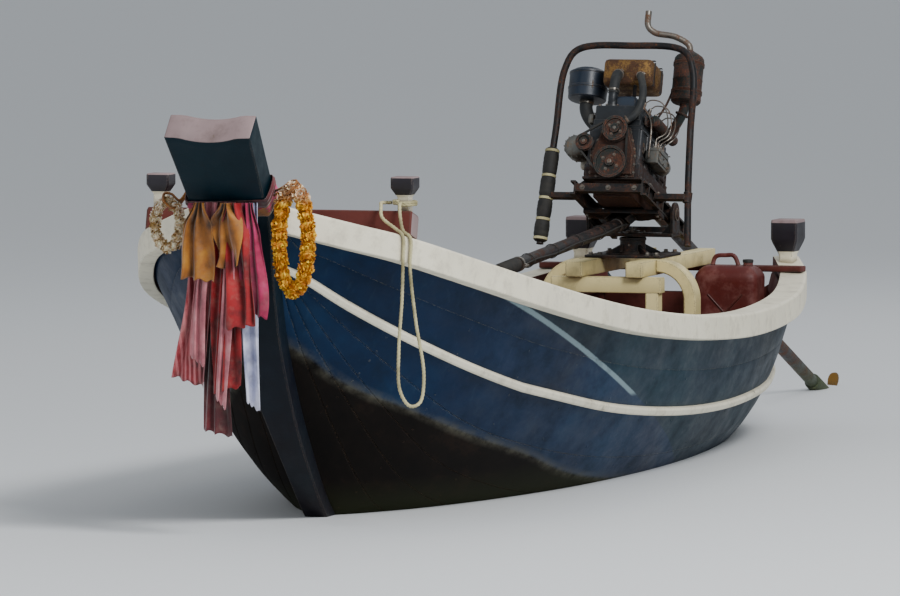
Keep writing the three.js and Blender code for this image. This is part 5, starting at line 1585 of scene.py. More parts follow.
def intake():
    shape = Shape("engine")
    z, out = BLOCK_TOP + 0.05, -0.244
    shape.slab((-0.02, -0.165, z - 0.024), (0.36, -0.1285, z + 0.024), 0.01)
    for x in spaced(0.02, 0.33, 4):
        shape.slab((x - 0.024, -0.13, z - 0.022), (x + 0.024, -0.1188, z + 0.022), 0.003)
        shape.bolts([(x - 0.033, -0.165, z + 0.012)], (0, -1, 0), 0.01, 1)
    shape.made("intake_runner", [ALLOY, BRIGHT], "engine_fittings", smooth_angle=34)

    shape = Shape("engine")
    hose(shape, [
        (0.14, -0.156, z + 0.002), (0.14, -0.216, z + 0.055), (0.14, out, z + 0.11), (0.14, out, z + 0.16),
    ], 0.032, 1, 2, 28)
    low = z + 0.155
    shape.turned([
        (0, 40), (1, 88), (6, 94), (50, 95), (52, 98), (60, 98), (62, 95), (124, 95),
        (126, 97.5), (134, 97.5), (137, 94), (141, 80), (148, 76), (155, 60), (157, 40),
    ], (0.14, out, low), UP, 44)
    shape.turned([(155, 10), (162, 10), (164, 5)], (0.14, out, low), UP, 12, 2)
    shape.slab((0.115, out - 0.003, low + 0.157), (0.165, out + 0.003, low + 0.163), 0.001, 2)
    for k in range(3):
        a = 0.5 + tau * k / 3
        d = Vector((cos(a), sin(a), 0))
        path = [
            Vector((0.14, out, low + h)) + d * r
            for h, r in ((0.04, 0.097), (0.048, 0.0985), (0.07, 0.0985), (0.078, 0.096))
        ]
        shape.tube(path, 0.0025, 6, 2)
    shape.made("air_filter", [BLUE_BLACK, HOSE, BRIGHT], "engine_fittings", ["air_cleaner"])


def tank():
    shape = Shape("engine")
    low = COVER_TOP + 0.075
    rings = []
    for z, inset in (
        (0, 0.02), (0.003, 0.01), (0.012, 0.002), (0.02, 0.0), (0.058, 0.0), (0.061, -0.0005),
        (0.071, -0.0005), (0.074, 0.0), (0.112, 0.0), (0.12, 0.002), (0.129, 0.01), (0.132, 0.02),
    ):
        x0, x1, y, c = 0.095 + inset, 0.322 - inset, 0.122 - inset, 0.018
        rings.append([
            (x0 + c, -y, low + z), (x1 - c, -y, low + z), (x1 - c * 0.3, -y + c * 0.3, low + z),
            (x1, -y + c, low + z), (x1, y - c, low + z), (x1 - c * 0.3, y - c * 0.3, low + z),
            (x1 - c, y, low + z), (x0 + c, y, low + z), (x0 + c * 0.3, y - c * 0.3, low + z),
            (x0, y - c, low + z), (x0, -y + c, low + z), (x0 + c * 0.3, -y + c * 0.3, low + z),
        ])
    shape.loft(rings)
    shape.turned([
        (-2, 24), (12, 24), (13, 30), (15, 32), (24, 32), (27, 30), (29, 20), (30, 6),
    ], (0.16, 0, low + 0.132), UP, 26, 1)
    for a in (0.4, 3.54):
        shape.slab((0.16 + 0.03 * cos(a) - 0.006, 0.03 * sin(a) - 0.006, low + 0.147),
                   (0.16 + 0.03 * cos(a) + 0.006, 0.03 * sin(a) + 0.006, low + 0.155), 0.002, 1)
    for x, y in ((0.12, -0.04), (0.3, 0.04), (0.12, 0.04)):
        shape.turned([(0, 20), (3, 20), (4, 9), (88, 9)], (x, y, COVER_TOP + 0.0006), UP, 14, 2)
    for x in (0.145, 0.272):
        shape.slab((x - 0.009, -0.1235, low + 0.008), (x + 0.009, 0.1235, low + 0.0105), 0.0008, 2)
        for side in (-1, 1):
            shape.slab(
                (x - 0.009, side * 0.1222, low + 0.008), (x + 0.009, side * 0.1245, low + 0.124), 0.0006, 2,
            )
        shape.slab((x - 0.009, -0.1235, low + 0.1325), (x + 0.009, 0.1235, low + 0.1345), 0.0006, 2)
    shape.made("header_tank_shell", [TANK_BRASS, RUSTY, STEEL], "bronze", ["header_tank"])

    shape = Shape("engine")
    low = BLOCK_TOP + 0.17
    hose(shape, [
        (BLOCK_FRONT - 0.036, -0.04, low), (BLOCK_FRONT - 0.044, -0.04, low + 0.06),
        (BLOCK_FRONT - 0.066, -0.04, low + 0.1), (0.318, -0.04, low + 0.115),
    ], 0.025, 0, 1)
    hose(shape, [
        (0.335, 0.07, 0.6), (0.385, 0.09, 0.58), (0.425, 0.12, 0.48), (0.44, 0.1, 0.38), (0.446, 0.04, 0.33),
    ], 0.018, 0, 1)
    shape.turned([(-20, 16), (20, 16)], (0.33, 0.07, 0.601), AHEAD, 14, 1)
    shape.made("coolant_hoses", [HOSE, BRIGHT], "engine_fittings")


def hoop():
    shape = Shape("engine")
    x = 0.3

    def side(s):
        return [
            (x - 0.022, s * 0.37, -0.235), (x, s * 0.352, 0.06), (x, s * 0.338, 0.33), (x, s * 0.322, 0.64),
            (x, s * 0.268, 0.738),
        ]

    path = smooth_path(side(1) + [(x, 0, 0.762)] + side(-1)[::-1], 110)
    shape.tube(path, 0.017, 18)
    for s in (-1, 1):
        shape.slab((x - 0.025, s * 0.1918, -0.014), (x + 0.025, s * 0.345, 0.014), 0.003)
        shape.turned([(0, 22), (50, 22)], (x, s * 0.3535, -0.025), (0, s * 0.04, 1), 20)
        shape.bolts([(x - 0.012, s * 0.21, 0.014), (x + 0.012, s * 0.21, 0.014)], UP, 0.013, 1)
        shape.turned([(0, 18.5), (4, 17.5)], (x - 0.022, s * 0.37, -0.236), (0.02, 0, 1), 16)
    shape.made("hoop_pipe", [STEEL, BRIGHT], "steel", ["guard_hoop"])

    # Padded sleeve of old rubber, bound with cord
    shape = Shape("engine")
    rank = random.Random(5)
    centre = smooth_path([(x - 0.02, -0.37, -0.225), (x, -0.354, 0.02), (x, -0.345, 0.24)], 60)
    radii = []
    for i in range(60):
        pinch = min(abs(i - b) for b in (2, 14, 27, 41, 57))
        radii.append(0.0372 - 0.006 * math.exp(-(pinch / 1.6) ** 2) + rank.uniform(-0.0012, 0.0006))
    radii[0] = radii[-1] = 0.024
    shape.tube(centre, radii, 20)
    for b in (2, 14, 27, 41, 57):
        along = (centre[b + 1] - centre[b - 1]).normalized()
        for lift in (-0.004, 0.0, 0.004):
            ring = [centre[b] + along * lift + way * 0.0335 for way in spokes(along, 24)]
            shape.tube(ring, 0.0024, 6, 1, closed=True)
    shape.made("hoop_sleeve", [RUBBER, ROPE_FIBRE], "steel", smooth_angle=60)


def tiller():
    shape = Shape("engine")
    top = -0.0344
    shape.slab((0.1, -0.19, top - 0.022), (0.21, 0.19, top), 0.003)
    for side in (-1, 1):
        shape.bolts([(x, side * 0.176, top - 0.022) for x in (0.13, 0.18)], (0, 0, -1), 0.015, 1)
    root = Vector((0.12, 0, top - 0.042))
    tip = ENGINE.inverted() @ Vector((-0.25, 0, 0.925))
    along = (tip - root).normalized()
    length = (tip - root).length
    shape.lathed([(0, 0.028), (0.004, 0.03), (length * 0.885, 0.03)], root, along, 28)
    shape.turned([(100, 30.2), (102, 34), (160, 34), (162, 30.2)], root, along, 28)
    web = [(0.104, -0.021, 1), (0.2, -0.021, 1), (0.3, -0.075, 0.6), (0.2, -0.075, 1)]
    for y in (-0.05, 0.05):
        shape.loft([[(x, y + t * thin, top + z) for x, z, thin in web] for t in (-0.004, 0.004)])
    shape.made("tiller_pipe", [STEEL, BRIGHT], "steel", ["tiller"])
    shape = Shape("engine")
    profile = [(length * 0.88, 0.0302)]
    for i in range(30):
        at = length * 0.88 + 0.004 + i * (length * 0.12 - 0.014) / 30
        profile += [(at, 0.0335), (at + 0.004, 0.0358), (at + 0.006, 0.0335)]
    profile += [(length - 0.006, 0.0355), (length, 0.03)]
    shape.lathed(profile, root, along, 24)
    shape.made("tiller_grip", RUBBER, "steel", smooth_angle=50)
    shape = Shape("engine")
    side = Vector((0, 1, 0))
    up = along.cross(side)
    at = root + along * length * 0.86
    shape.turned([(-12, 31.5), (-11, 36), (11, 36), (12, 31.5)], at, along, 24)
    shape.tube([
        at + side * 0.034, at + side * 0.05 + up * -0.004, at + side * 0.06 + along * 0.05,
        at + side * 0.062 + along * 0.1,
    ], [0.006, 0.006, 0.005, 0.007], 10)
    sag = [(0, 0), (0.2, 0.004), (0.5, -0.005), (0.9, 0.003), (1.3, -0.003), (1.6, 0.004), (1.8, 0)]
    cable = [at + side * 0.036 - along * d + up * lift for d, lift in sag]
    shape.tube(smooth_path(cable, 90), 0.0042, 8, 1)
    for d in (0.15, 0.55, 0.95, 1.35, 1.7):
        ring = [
            at - along * d + (side * cos(a) + up * sin(a)) * (0.033 + 0.007 * max(0, cos(a)) ** 8)
            for a in spaced(0, tau, 33)[:-1]
        ]
        shape.tube(ring, 0.0022, 6, 1, closed=True)
    shape.made("throttle", [BRIGHT, RUBBER], "steel", smooth_angle=50)


TAIL = -3.79


def shaft():
    shape = Shape("engine")
    start = -0.2604
    shape.lathed([
        (0, 0.058), (0.001, 0.06), (0.016, 0.06), (0.0176, 0.057), (0.018, 0.04), (0.03, 0.034),
        (0.04, 0.032), (-TAIL + start - 0.004, 0.032), (-TAIL + start, 0.029),
    ], (start, 0, CRANK_Z), AFT, 32)
    for d in (0.9, 1.7, 2.5):
        shape.turned([(-6, 32), (-3, 34.5), (3, 34.5), (6, 32)], (start - d, 0, CRANK_Z), AFT, 28)
    bolt_circle(shape, (start - 0.0176, 0, CRANK_Z), AFT, 0.049, 6, 0.013, 1)
    shape.made("shaft_pipe", [SHAFT_PAINT, BRIGHT], "steel", ["shaft_tube"])
    shape = Shape("engine")
    shape.turned([
        (0, 32.6), (1, 39), (6, 42), (300, 42), (314, 40), (319.5, 34), (320, 20.2),
    ], (TAIL + 0.26, 0, CRANK_Z), AFT, 32)
    outline = [
        (TAIL + 0.24, -0.038), (TAIL + 0.1, -0.09), (TAIL - 0.04, -0.17), (TAIL - 0.06, -0.2),
        (TAIL - 0.118, -0.19), (TAIL - 0.085, -0.13), (TAIL - 0.03, -0.038),
    ]
    shape.loft([
        [(x + (0.004 if edge and x > TAIL else 0), y, CRANK_Z + z + edge * 0.003) for x, z in outline]
        for y, edge in ((-0.005, 1), (-0.0042, 0), (0.0042, 0), (0.005, 1))
    ])
    shape.turned([(0, 5), (6, 5), (8, 3.5), (12, 4.2)], (TAIL + 0.12, 0, CRANK_Z + 0.041), UP, 10, 1)
    shape.made("tail_bearing_sleeve", [SHAFT_PAINT, BRONZE], "steel", ["tail_bearing"])


def screw():
    shape = Shape("screw")
    middle = TAIL - 0.15
    shape.turned([
        (-50, 26), (-48, 32), (-30, 34), (50, 29), (58, 27), (60, 24), (62, 24),
        (75, 22), (88, 15), (95, 6),
    ], (middle, 0, CRANK_Z), AFT, 32)
    shape.turned([(0, 16), (80, 16)], (TAIL - 0.03, 0, CRANK_Z), AFT, 20, 1)
    blade = [
        (0.02, 0.054, 62), (0.04, 0.068, 55), (0.06, 0.078, 48), (0.085, 0.086, 40), (0.105, 0.088, 34),
        (0.125, 0.082, 30), (0.14, 0.07, 27), (0.151, 0.052, 25), (0.157, 0.03, 24), (0.158, 0.012, 24),
    ]
    for turn in (0, 120, 240):
        rings = []
        around = Matrix.Rotation(radians(turn), 4, "X")
        for radius, chord, pitch in blade:
            angle = radians(pitch)
            thick = 0.0036 * (1.15 - radius / 0.18)
            ring = []
            for f, t in (
                (-1, 0), (-0.85, 0.5), (-0.4, 1), (0.2, 0.9), (0.8, 0.35), (1, 0), (0.8, -0.25), (0.2, -0.4),
                (-0.4, -0.4), (-0.85, -0.25),
            ):
                a, b = f * chord / 2, t * thick
                p = Vector((a * sin(angle) + b * cos(angle), a * cos(angle) - b * sin(angle), radius))
                ring.append(around @ p + Vector((middle, 0, CRANK_Z)))
            rings.append(ring)
        shape.loft(rings)
    shape.made("propeller_casting", [BRONZE, BRIGHT], "bronze", ["propeller"], 50)


for build in (
    turret, yoke, cradle, block, starter_and_filter, injection_pump, head, bell, front_end, alternator,
    exhaust, intake, tank, hoop, tiller, shaft, screw,
):
    build()


# Fuel can on the stern deck
CAN_AT = Vector((-3.01, 0.348, STERN_DECK_TOP + GAP))
CAN_PAINT = old_paint("faded can paint", "5e1c16", "3a2018", "9c6c64", 0.6, 0.5, fade=0.35)


def fuel_can():
    shape = Shape(place=Matrix.Translation(CAN_AT))
    rings = []
    for z, grow in (
        (0.0, -0.012), (0.004, -0.004), (0.012, 0.0), (0.04, 0.0), (0.06, -0.001), (0.3, -0.001), (0.33, 0.0),
        (0.352, 0.0), (0.366, -0.003), (0.388, -0.018), (0.404, -0.036), (0.41, -0.05),
    ):
        ring = []
        for k in range(48):
            a = tau * (k + 0.5) / 48
            ca, sa = cos(a), sin(a)
            square = (abs(ca) ** 7 + abs(sa) ** 7) ** (-1 / 7)
            x, y = (0.1 + grow) * ca * square, (0.16 + grow) * sa * square
            # Pressed panels on the broad faces
            if 0.06 <= z <= 0.3 and abs(ca) > 0.3:
                x -= math.copysign(0.004 * min(1, (0.115 - min(0.115, abs(y))) / 0.015), x)
            ring.append((x, y, z))
        rings.append(ring)
    shape.loft(rings)
    for side in (-1, 1):
        for tilt in (-1, 1):
            brace = [(side * 0.096, -0.085, 0.18 - tilt * 0.09), (side * 0.097, 0.085, 0.18 + tilt * 0.09)]
            shape.tube(brace, 0.0045, 8)
    grip = [(0, -0.09, 0.396), (0, -0.072, 0.45), (0, -0.02, 0.458), (0, 0.02, 0.456), (0, 0.048, 0.398)]
    shape.tube(smooth_path(grip, 24), 0.011, 12)
    shape.turned([(0, 26), (20, 24), (30, 24)], (0, 0.092, 0.396), UP, 22)
    cap = [(0.024, 0.0245), (0.025, 0.0265), (0.036, 0.0265), (0.039, 0.024), (0.04, 0.016)]
    shape.lathed(cap, (0, 0.092, 0.4), UP, 24, 1)
    shape.made("fuel_can_shell", [CAN_PAINT, RUBBER], "can_paint", ["fuel_can"], 45)


fuel_can()


# One shape repeated over a guide of points, each facing its own way
def repeat_group():
    group = bpy.data.node_groups.new("repeat a shape", "GeometryNodeTree")
    sockets = {}
    for name, kind, way in (
        ("Guide", "NodeSocketGeometry", "INPUT"), ("Shape", "NodeSocketObject", "INPUT"),
        ("Size spread", "NodeSocketFloat", "INPUT"), ("Lean", "NodeSocketFloat", "INPUT"),
        ("Seed", "NodeSocketInt", "INPUT"), ("Finish", "NodeSocketMaterial", "INPUT"),
        ("Pieces", "NodeSocketGeometry", "OUTPUT"),
    ):
        sockets[name] = group.interface.new_socket(name, in_out=way, socket_type=kind).identifier

    def node(kind, inputs=None, **settings):
        return add_node(group, kind, inputs, **settings)

    given = node("NodeGroupInput").outputs
    facing = node("GeometryNodeInputNamedAttribute", {"Name": "facing"}, data_type="FLOAT_VECTOR").outputs[0]
    upright = node("FunctionNodeAlignRotationToVector", {"Vector": facing}, axis="Z").outputs[0]
    lean = given["Lean"]
    back = [node("ShaderNodeMath", {0: lean, 1: -1.0}, operation="MULTIPLY").outputs[0] for _ in "XY"]
    low = node("ShaderNodeCombineXYZ", {"X": back[0], "Y": back[1]}).outputs[0]
    high = node("ShaderNodeCombineXYZ", {"X": lean, "Y": lean, "Z": tau}).outputs[0]
    turn = node(
        "FunctionNodeRandomValue", {"Min": low, "Max": high, "Seed": given["Seed"]}, data_type="FLOAT_VECTOR",
    )
    turned = node("FunctionNodeRotateRotation", {"Rotation": upright}, rotation_space="LOCAL")
    group.links.new(turn.outputs[0], turned.inputs["Rotate By"])
    least = node("ShaderNodeMath", {0: 1.0, 1: given["Size spread"]}, operation="SUBTRACT").outputs[0]
    size = node("FunctionNodeRandomValue", {"Seed": given["Seed"]}, data_type="FLOAT")
    group.links.new(least, size.inputs[2])
    size.inputs[3].default_value = 1.0
    shape = node(
        "GeometryNodeObjectInfo", {"Object": given["Shape"], "As Instance": True},
    ).outputs["Geometry"]
    placed = node("GeometryNodeInstanceOnPoints", {"Points": given["Guide"], "Instance": shape})
    group.links.new(turned.outputs[0], placed.inputs["Rotation"])
    group.links.new(size.outputs[1], placed.inputs["Scale"])
    real = node("GeometryNodeRealizeInstances", {"Geometry": placed.outputs[0]}).outputs[0]
    painted = node("GeometryNodeSetMaterial", {"Geometry": real, "Material": given["Finish"]}).outputs[0]
    result = node("NodeGroupOutput")
    group.links.new(painted, result.inputs["Pieces"])
    return group, sockets


REPEAT, REPEAT_SOCKETS = repeat_group()


def repeated(name, shape, spots, finish, slot, replaces=(), spread=0.0, lean=0.0, seed=1, smooth_angle=40):
    """Sets the shape on every spot; a spot is a point and the way it faces."""
    guide = bpy.data.meshes.new(name + " guide")
    guide.from_pydata([at for at, _ in spots], [], [])
    facing = guide.attributes.new("facing", "FLOAT_VECTOR", "POINT")
    facing.data.foreach_set("vector", [c for _, way in spots for c in way])
    sample_mesh = bpy.data.meshes.new(name + " sample")
    sample_mesh.from_pydata(shape.verts, [], shape.faces)
    sample = bpy.data.objects.new(name + " sample", sample_mesh)
    obj = bpy.data.objects.new(name, guide)
    for each in (sample, obj):
        scene.collection.objects.link(each)
    modifier = obj.modifiers.new("repeat", "NODES")
    modifier.node_group = REPEAT
    for key, value in (
        ("Shape", sample), ("Size spread", spread), ("Lean", lean), ("Seed", seed), ("Finish", finish),
    ):
        modifier[REPEAT_SOCKETS[key]] = value
    ready = obj.evaluated_get(bpy.context.evaluated_depsgraph_get())
    mesh = bpy.data.meshes.new_from_object(ready)
    obj.modifiers.remove(modifier)
    obj.data = mesh
    mesh.name = name
    bpy.data.objects.remove(sample)
    bpy.data.meshes.remove(sample_mesh)
    bpy.data.meshes.remove(guide)
    mesh.shade_smooth()
    mesh.set_sharp_from_angle(angle=radians(smooth_angle))
    hand_over(obj, "hull", slot, replaces)


# Wooden plugs over the fastenings, a pair in each plank at each rib
def plank_plugs():
    plug = Shape()
    plug.turned([(-2, 6.2), (0.4, 6.2), (0.9, 5.4), (0.6, 1.2)], (0, 0, 0), UP, 12)
    seams = [part_way(flat_value(0), bilge_seam, f) for f in (0, 1 / 3, 2 / 3, 1)]
    seams += [part_way(bilge_seam, rubbing_seam, f) for f in (0.5, 1)]
    seams += [part_way(rubbing_seam, flat_value(1), 0.5)]
    spots = []
    for x in RIB_XS + [2.45, 2.9]:
        for low, high in zip(seams, seams[1:]):
            for share in (0.2, 0.8):
                u = section_at(x)
                t = low(u) + (high(u) - low(u)) * share
                u = section_at(x, t)
                at, way = hull_point(u, t, 0.0005), outward(u, t)
                for side in (1, -1):
                    spots.append(((at.x, side * at.y, at.z), (way.x, side * way.y, way.z)))
    repeated("plank_plugs", plug, spots, HULL_PAINT_AND_SHADE, "hull_blue", spread=0.08, seed=3)


def deck_nails():
    nail = Shape()
    nail.turned([(-2, 4.6), (0.3, 4.6), (0.9, 3.6), (1, 1)], (0, 0, 0), UP, 10)
    spots = []
    rows = [(x, STERN_DECK_TOP) for x in spaced(-3.40, -2.02, 12)]
    rows += [(x, bow_deck_height(x)) for x in spaced(2.085, 3.1, 9)]
    for x, z in rows:
        reach = room_half(x, z - DECK_THICK, CLEAR_OF_RIBS + 0.03)
        for share in (-0.93, -0.36, 0.36, 0.93):
            for step in (-0.035, 0.035):
                rise = 0.2786 * step if x > 0 else 0
                spots.append(((x + step, share * reach, z + rise + 0.0002), UP))
    for x in (-2.3, -1.95, -1.4, -0.85, -0.3, 0.25, 0.8, 1.35):
        reach = room_half(x, FLOOR_TOP - FLOOR_THICK, CLEAR_OF_RIBS)
        y = 0.068
        while y < reach - 0.03:
            for side in (1, -1):
                spots += [((x, side * (y + step), FLOOR_TOP + 0.0005), UP) for step in (-0.035, 0.035)]
            y += FLOOR_BOARD
    repeated("deck_nails", nail, spots, RUSTY, "steel", spread=0.15, seed=5)


plank_plugs()
deck_nails()


# Cloths tied round the stem
def cloth(name, colour, shade, pale, stripes=0.0):
    """Thin glossy cloth, faded in patches, with a painted highlight on its folds and painted shade in its
    hollows, woven finely.
    """
    f = Finish(name, 0.62, Sheen_Weight=0.5, Sheen_Roughness=0.4)
    fade = f.noise(7, 5, 0.6)
    thread = f.noise(900, 1, 0.5, (1, 1, 0.25))
    cross = f.noise(900, 1, 0.5, (0.25, 0.25, 1))
    dust = f.noise(22, 6, 0.7)
    tone = f.ramp(fade, (0.3, shade), (0.5, colour), (0.75, pale))
    if stripes:
        wave = f.node(
            "ShaderNodeTexWave", {"Vector": f.place, "Scale": 16.0, "Distortion": 1.2, "Detail": 1.0},
            bands_direction="Y",
        ).outputs[0]
        tone = f.mix(f.times(f.rise(wave, 0.55, 0.65), stripes), tone, pale)
    # Painted shade: darkened where the cloth is shut in, in its folds
    tone = f.mix(f.hollows(0.03), tone, shade)
    tone = f.mix(f.rise(dust, 0.5, 0.8, 0.35), tone, "8d8477")
    # Painted highlight: paler where the cloth turns sharply, on its fold crests
    tone = f.mix(f.times(f.edges(0.003), 0.3), tone, pale)
    f.bump(thread, 0.0004, 0.5)
    f.bump(cross, 0.0004, 0.5)
    f.bump(dust, 0.0015, 0.3)
    return f.ends(tone, f.ramp(dust, (0.3, 0.5), (0.7, 0.75)))


GOLD_CLOTH = cloth("gold cloth", "96590a", "402206", "bf8420")
RED_CLOTH = cloth("red cloth", "96000c", "3a0006", "b81418")
MAGENTA_CLOTH = cloth("magenta cloth", "a00644", "44021c", "cc3878")
FADED_CLOTH = cloth("faded red cloth", "8c1c26", "400c16", "cc7c80", 0.6)
PINK_CLOTH = cloth("pale pink cloth", "c07078", "763440", "e4a8aa")
LILAC_CLOTH = cloth("pale lilac cloth", "cdcfe6", "8488a8", "eeeef8")
WINE_CLOTH = cloth("wine cloth", "480610", "1c0306", "741420")


def two_skins(m, n, across, rims):
    """Faces of an outer and an inner skin of m rows of n points, joined along the rims."""
    size = m * n
    faces = []
    for i in range(m - 1):
        for k in range(across):
            a, b = i * n + k, i * n + (k + 1) % n
            faces += [(a, b, b + n, a + n), (size + a + n, size + b + n, size + b, size + a)]
    for rim in rims:
        faces += [(b, a, size + a, size + b) for a, b in zip(rim, rim[1:] + rim[:1])]
    return faces


def closed_sheet(rows, thick):
    """Two skins over a grid of points, a thickness apart, joined round the edge."""
    m, n = len(rows), len(rows[0])
    out = []
    for i in range(m):
        for k in range(n):
            down = rows[min(i + 1, m - 1)][k] - rows[max(i - 1, 0)][k]
            over = rows[i][min(k + 1, n - 1)] - rows[i][max(k - 1, 0)]
            out.append(over.cross(down).normalized() * thick / 2)
    flat = [p for row in rows for p in row]
    verts = [p + o for p, o in zip(flat, out)] + [p - o for p, o in zip(flat, out)]
    rim = list(range(n)) + [i * n + n - 1 for i in range(1, m)]
    rim += [(m - 1) * n + k for k in range(n - 2, -1, -1)] + [i * n for i in range(m - 2, 0, -1)]
    return verts, two_skins(m, n, n - 1, [rim])


def folded_row(half, cut, waves, phase, count):
    """Points (across, out) of a row whose folds are deep enough to take up the width it was cut to."""
    def row(deep):
        points = []
        for s in spaced(-1, 1, count):
            bent = s + 0.22 * sin(2.4 * s + 2 * phase)
            wave = sin(pi * waves * bent + phase) + 0.6 * sin(1.5 * waves * bent - 1.7 * phase)
            points.append((half * s, deep * wave))
        return points

    low, high = 0.0, 0.05
    for _ in range(16):
        middle = (low + high) / 2
        points = row(middle)
        if sum(math.dist(a, b) for a, b in zip(points, points[1:])) < cut:
            low = middle
        else:
            high = middle
    return row(low)


def ribbon(name, finish, top, length, width, hang, waves, lean=0.0, seed=1, slant=0.0):
    """A strip of cloth gathered at its top, opening into folds as it falls."""
    rank = random.Random(seed)
    phase = rank.uniform(0, 6.28)
    drift = [rank.uniform(-1, 1) for _ in range(3)]
    rows = []
    for v in spaced(0, 1, 49):
        open_out = min(1.0, v / 0.3)
        open_out = open_out * open_out * (3 - 2 * open_out)
        half = (0.026 + (hang / 2 - 0.026) * open_out) * (1 + 0.1 * sin(6 * v + drift[0] * 3))
        folds = folded_row(half, width, waves * (1 - 0.4 * v), phase + 1.6 * v * drift[1], 45)
        sway = 0.016 * sin(4.2 * v + drift[2] * 3) * v
        twist = 0.5 * drift[1] * v
        row = []
        for across, out in folds:
            share = across / half
            across, out = across * cos(twist) - out * sin(twist), across * sin(twist) * 0.5 + out
            drop = length * (v + slant * 0.5 * share * v)
            hem = 0.006 * sin(9 * share + phase) * v
            row.append(
                Vector((top.x + out + 0.4 * sway, top.y + lean * v + across + sway, top.z - drop + hem)),
            )
        rows.append(row)
    shape = Shape()
    shape.add(*closed_sheet(rows, CLOTH_THICK))
    piece = shape.made(name, finish, "cloth", ["stem_cloth"], 180)


def wrap(name, finish, level, tall, slope, seed):
    """A band of cloth drawn tight round the stem, creased along its length."""
    rank = random.Random(seed)
    creases = [(rank.uniform(0, 6.28), rank.uniform(-1, 1)) for _ in range(3)]
    f = 6 + (1000 * level - STEM[6][1]) / (STEM[7][1] - STEM[6][1])
    front, back, along = stem_section(f, 0.006, 15)
    outline = smooth_path(front + back, 121, closed=True)
    centre = sum((Vector(p) for p in outline), Vector()) / len(outline)
    rows = []
    for s in spaced(-1, 1, 15):
        row = []
        for i, p in enumerate(outline):
            around = tau * i / 120
            crease = sum(sin(7 * s + 2 * sin(around + start) + 3 * bend) for start, bend in creases) / 3
            away = Vector((p.x - centre.x, p.y - centre.y, 0)).normalized()
            swell = 0.002 + 0.004 * (1 - s * s) + 0.0025 * crease
            height = s * tall / 2 * (1 + 0.12 * sin(2 * around + seed)) + slope * p.y
            row.append(p + away * swell + along * height)
        rows.append(row)
    m, n = len(rows), len(rows[0]) - 1
    outer = [p for row in rows for p in row[:-1]]
    inner = [p + (centre - p).normalized() * BAND_THICK for p in outer]
    rims = [list(range(n)), [m * n - 1 - k for k in range(n)]]
    shape = Shape()
    shape.add(outer + inner, two_skins(m, n, n, rims))
    piece = shape.made(name, finish, "cloth", ["stem_cloth"], 180)
    length = sum((a - b).length for a, b in zip(outline, outline[1:]))


RIBBONS = [
    # name, finish, top x, y, z, length, cut width, hanging width, waves, lean, slant
    ("wine", WINE_CLOTH, 3.772, -0.02, 1.44, 0.99, 0.19, 0.14, 3.4, -0.035, 0.03),
    ("faded_left", FADED_CLOTH, 3.786, -0.09, 1.44, 0.77, 0.17, 0.13, 3.2, -0.075, 0.06),
    ("lilac_right", LILAC_CLOTH, 3.800, 0.12, 1.44, 0.87, 0.10, 0.065, 2.4, -0.01, 0.05),
    ("red_long", RED_CLOTH, 3.806, 0.02, 1.44, 0.80, 0.20, 0.14, 3.6, -0.03, -0.04),
    ("pink_left", PINK_CLOTH, 3.818, -0.06, 1.44, 0.68, 0.09, 0.06, 2.2, -0.075, 0.07),
    ("magenta_right", MAGENTA_CLOTH, 3.824, 0.10, 1.44, 0.48, 0.16, 0.12, 2.8, 0.03, 0.04),
    ("pink_middle", PINK_CLOTH, 3.832, 0.03, 1.44, 0.86, 0.07, 0.05, 2.0, -0.03, 0.06),
    ("red_short", RED_CLOTH, 3.840, 0.05, 1.44, 0.53, 0.18, 0.13, 3.0, 0.02, -0.05),
    ("gold_left", GOLD_CLOTH, 3.848, -0.10, 1.44, 0.33, 0.20, 0.14, 3.0, -0.02, 0.05),
    ("gold_right", GOLD_CLOTH, 3.856, 0.02, 1.44, 0.27, 0.18, 0.13, 2.6, 0.01, -0.06),
]


def cloths():
    for i, (name, finish, x, y, z, length, cut, hang, waves, lean, slant) in enumerate(RIBBONS):
        ribbon("ribbon_" + name, finish, Vector((x, y, z)), length, cut, hang, waves, lean, 20 + i, slant)
    wrap("wrap_gold", GOLD_CLOTH, 1.452, 0.055, 0.05, 1)
    wrap("wrap_magenta", MAGENTA_CLOTH, 1.478, 0.036, -0.06, 2)
    wrap("wrap_wine", WINE_CLOTH, 1.500, 0.042, 0.04, 3)


cloths()


# Garlands over the stem: flower heads strung into rings
def flower_head(size, rows, seed):
    """Rows of ruffled petals over a small ball."""
    shape = Shape()
    rank = random.Random(seed)
    ball = [(-0.62, 0.2), (-0.4, 0.55), (0, 0.66), (0.35, 0.5), (0.5, 0.1)]
    shape.lathed([(a * size, b * size) for a, b in ball], (0, 0, 0), UP, 9)
    for row, count in enumerate(rows):
        lift = radians(-38 + 116 * row / (len(rows) - 1))
        for k in range(count):
            a = tau * (k + 0.5 * (row % 2)) / count + rank.uniform(-0.15, 0.15)
            out = Vector((cos(a) * cos(lift), sin(a) * cos(lift), sin(lift)))
            across = Vector((-sin(a), cos(a), 0))
            up = out.cross(across)
            wide = size * 0.42 * rank.uniform(0.85, 1.15)
            reach = size * rank.uniform(0.9, 1.02)
            base = out * size * 0.5
            middle = out * reach * 0.85 - up * size * 0.06
            tip = out * reach + up * size * rank.uniform(-0.1, 0.14)
            raised = middle + up * size * 0.11
            shape.add(
                [
                    base - across * wide * 0.3, base + across * wide * 0.3, raised + across * wide * 0.5,
                    tip + across * wide * 0.32, tip - across * wide * 0.32, raised - across * wide * 0.5,
                    middle,
                ],
                [(0, 1, 2, 6), (0, 6, 5), (6, 2, 3), (6, 3, 4), (6, 4, 5)],
            )
    return shape


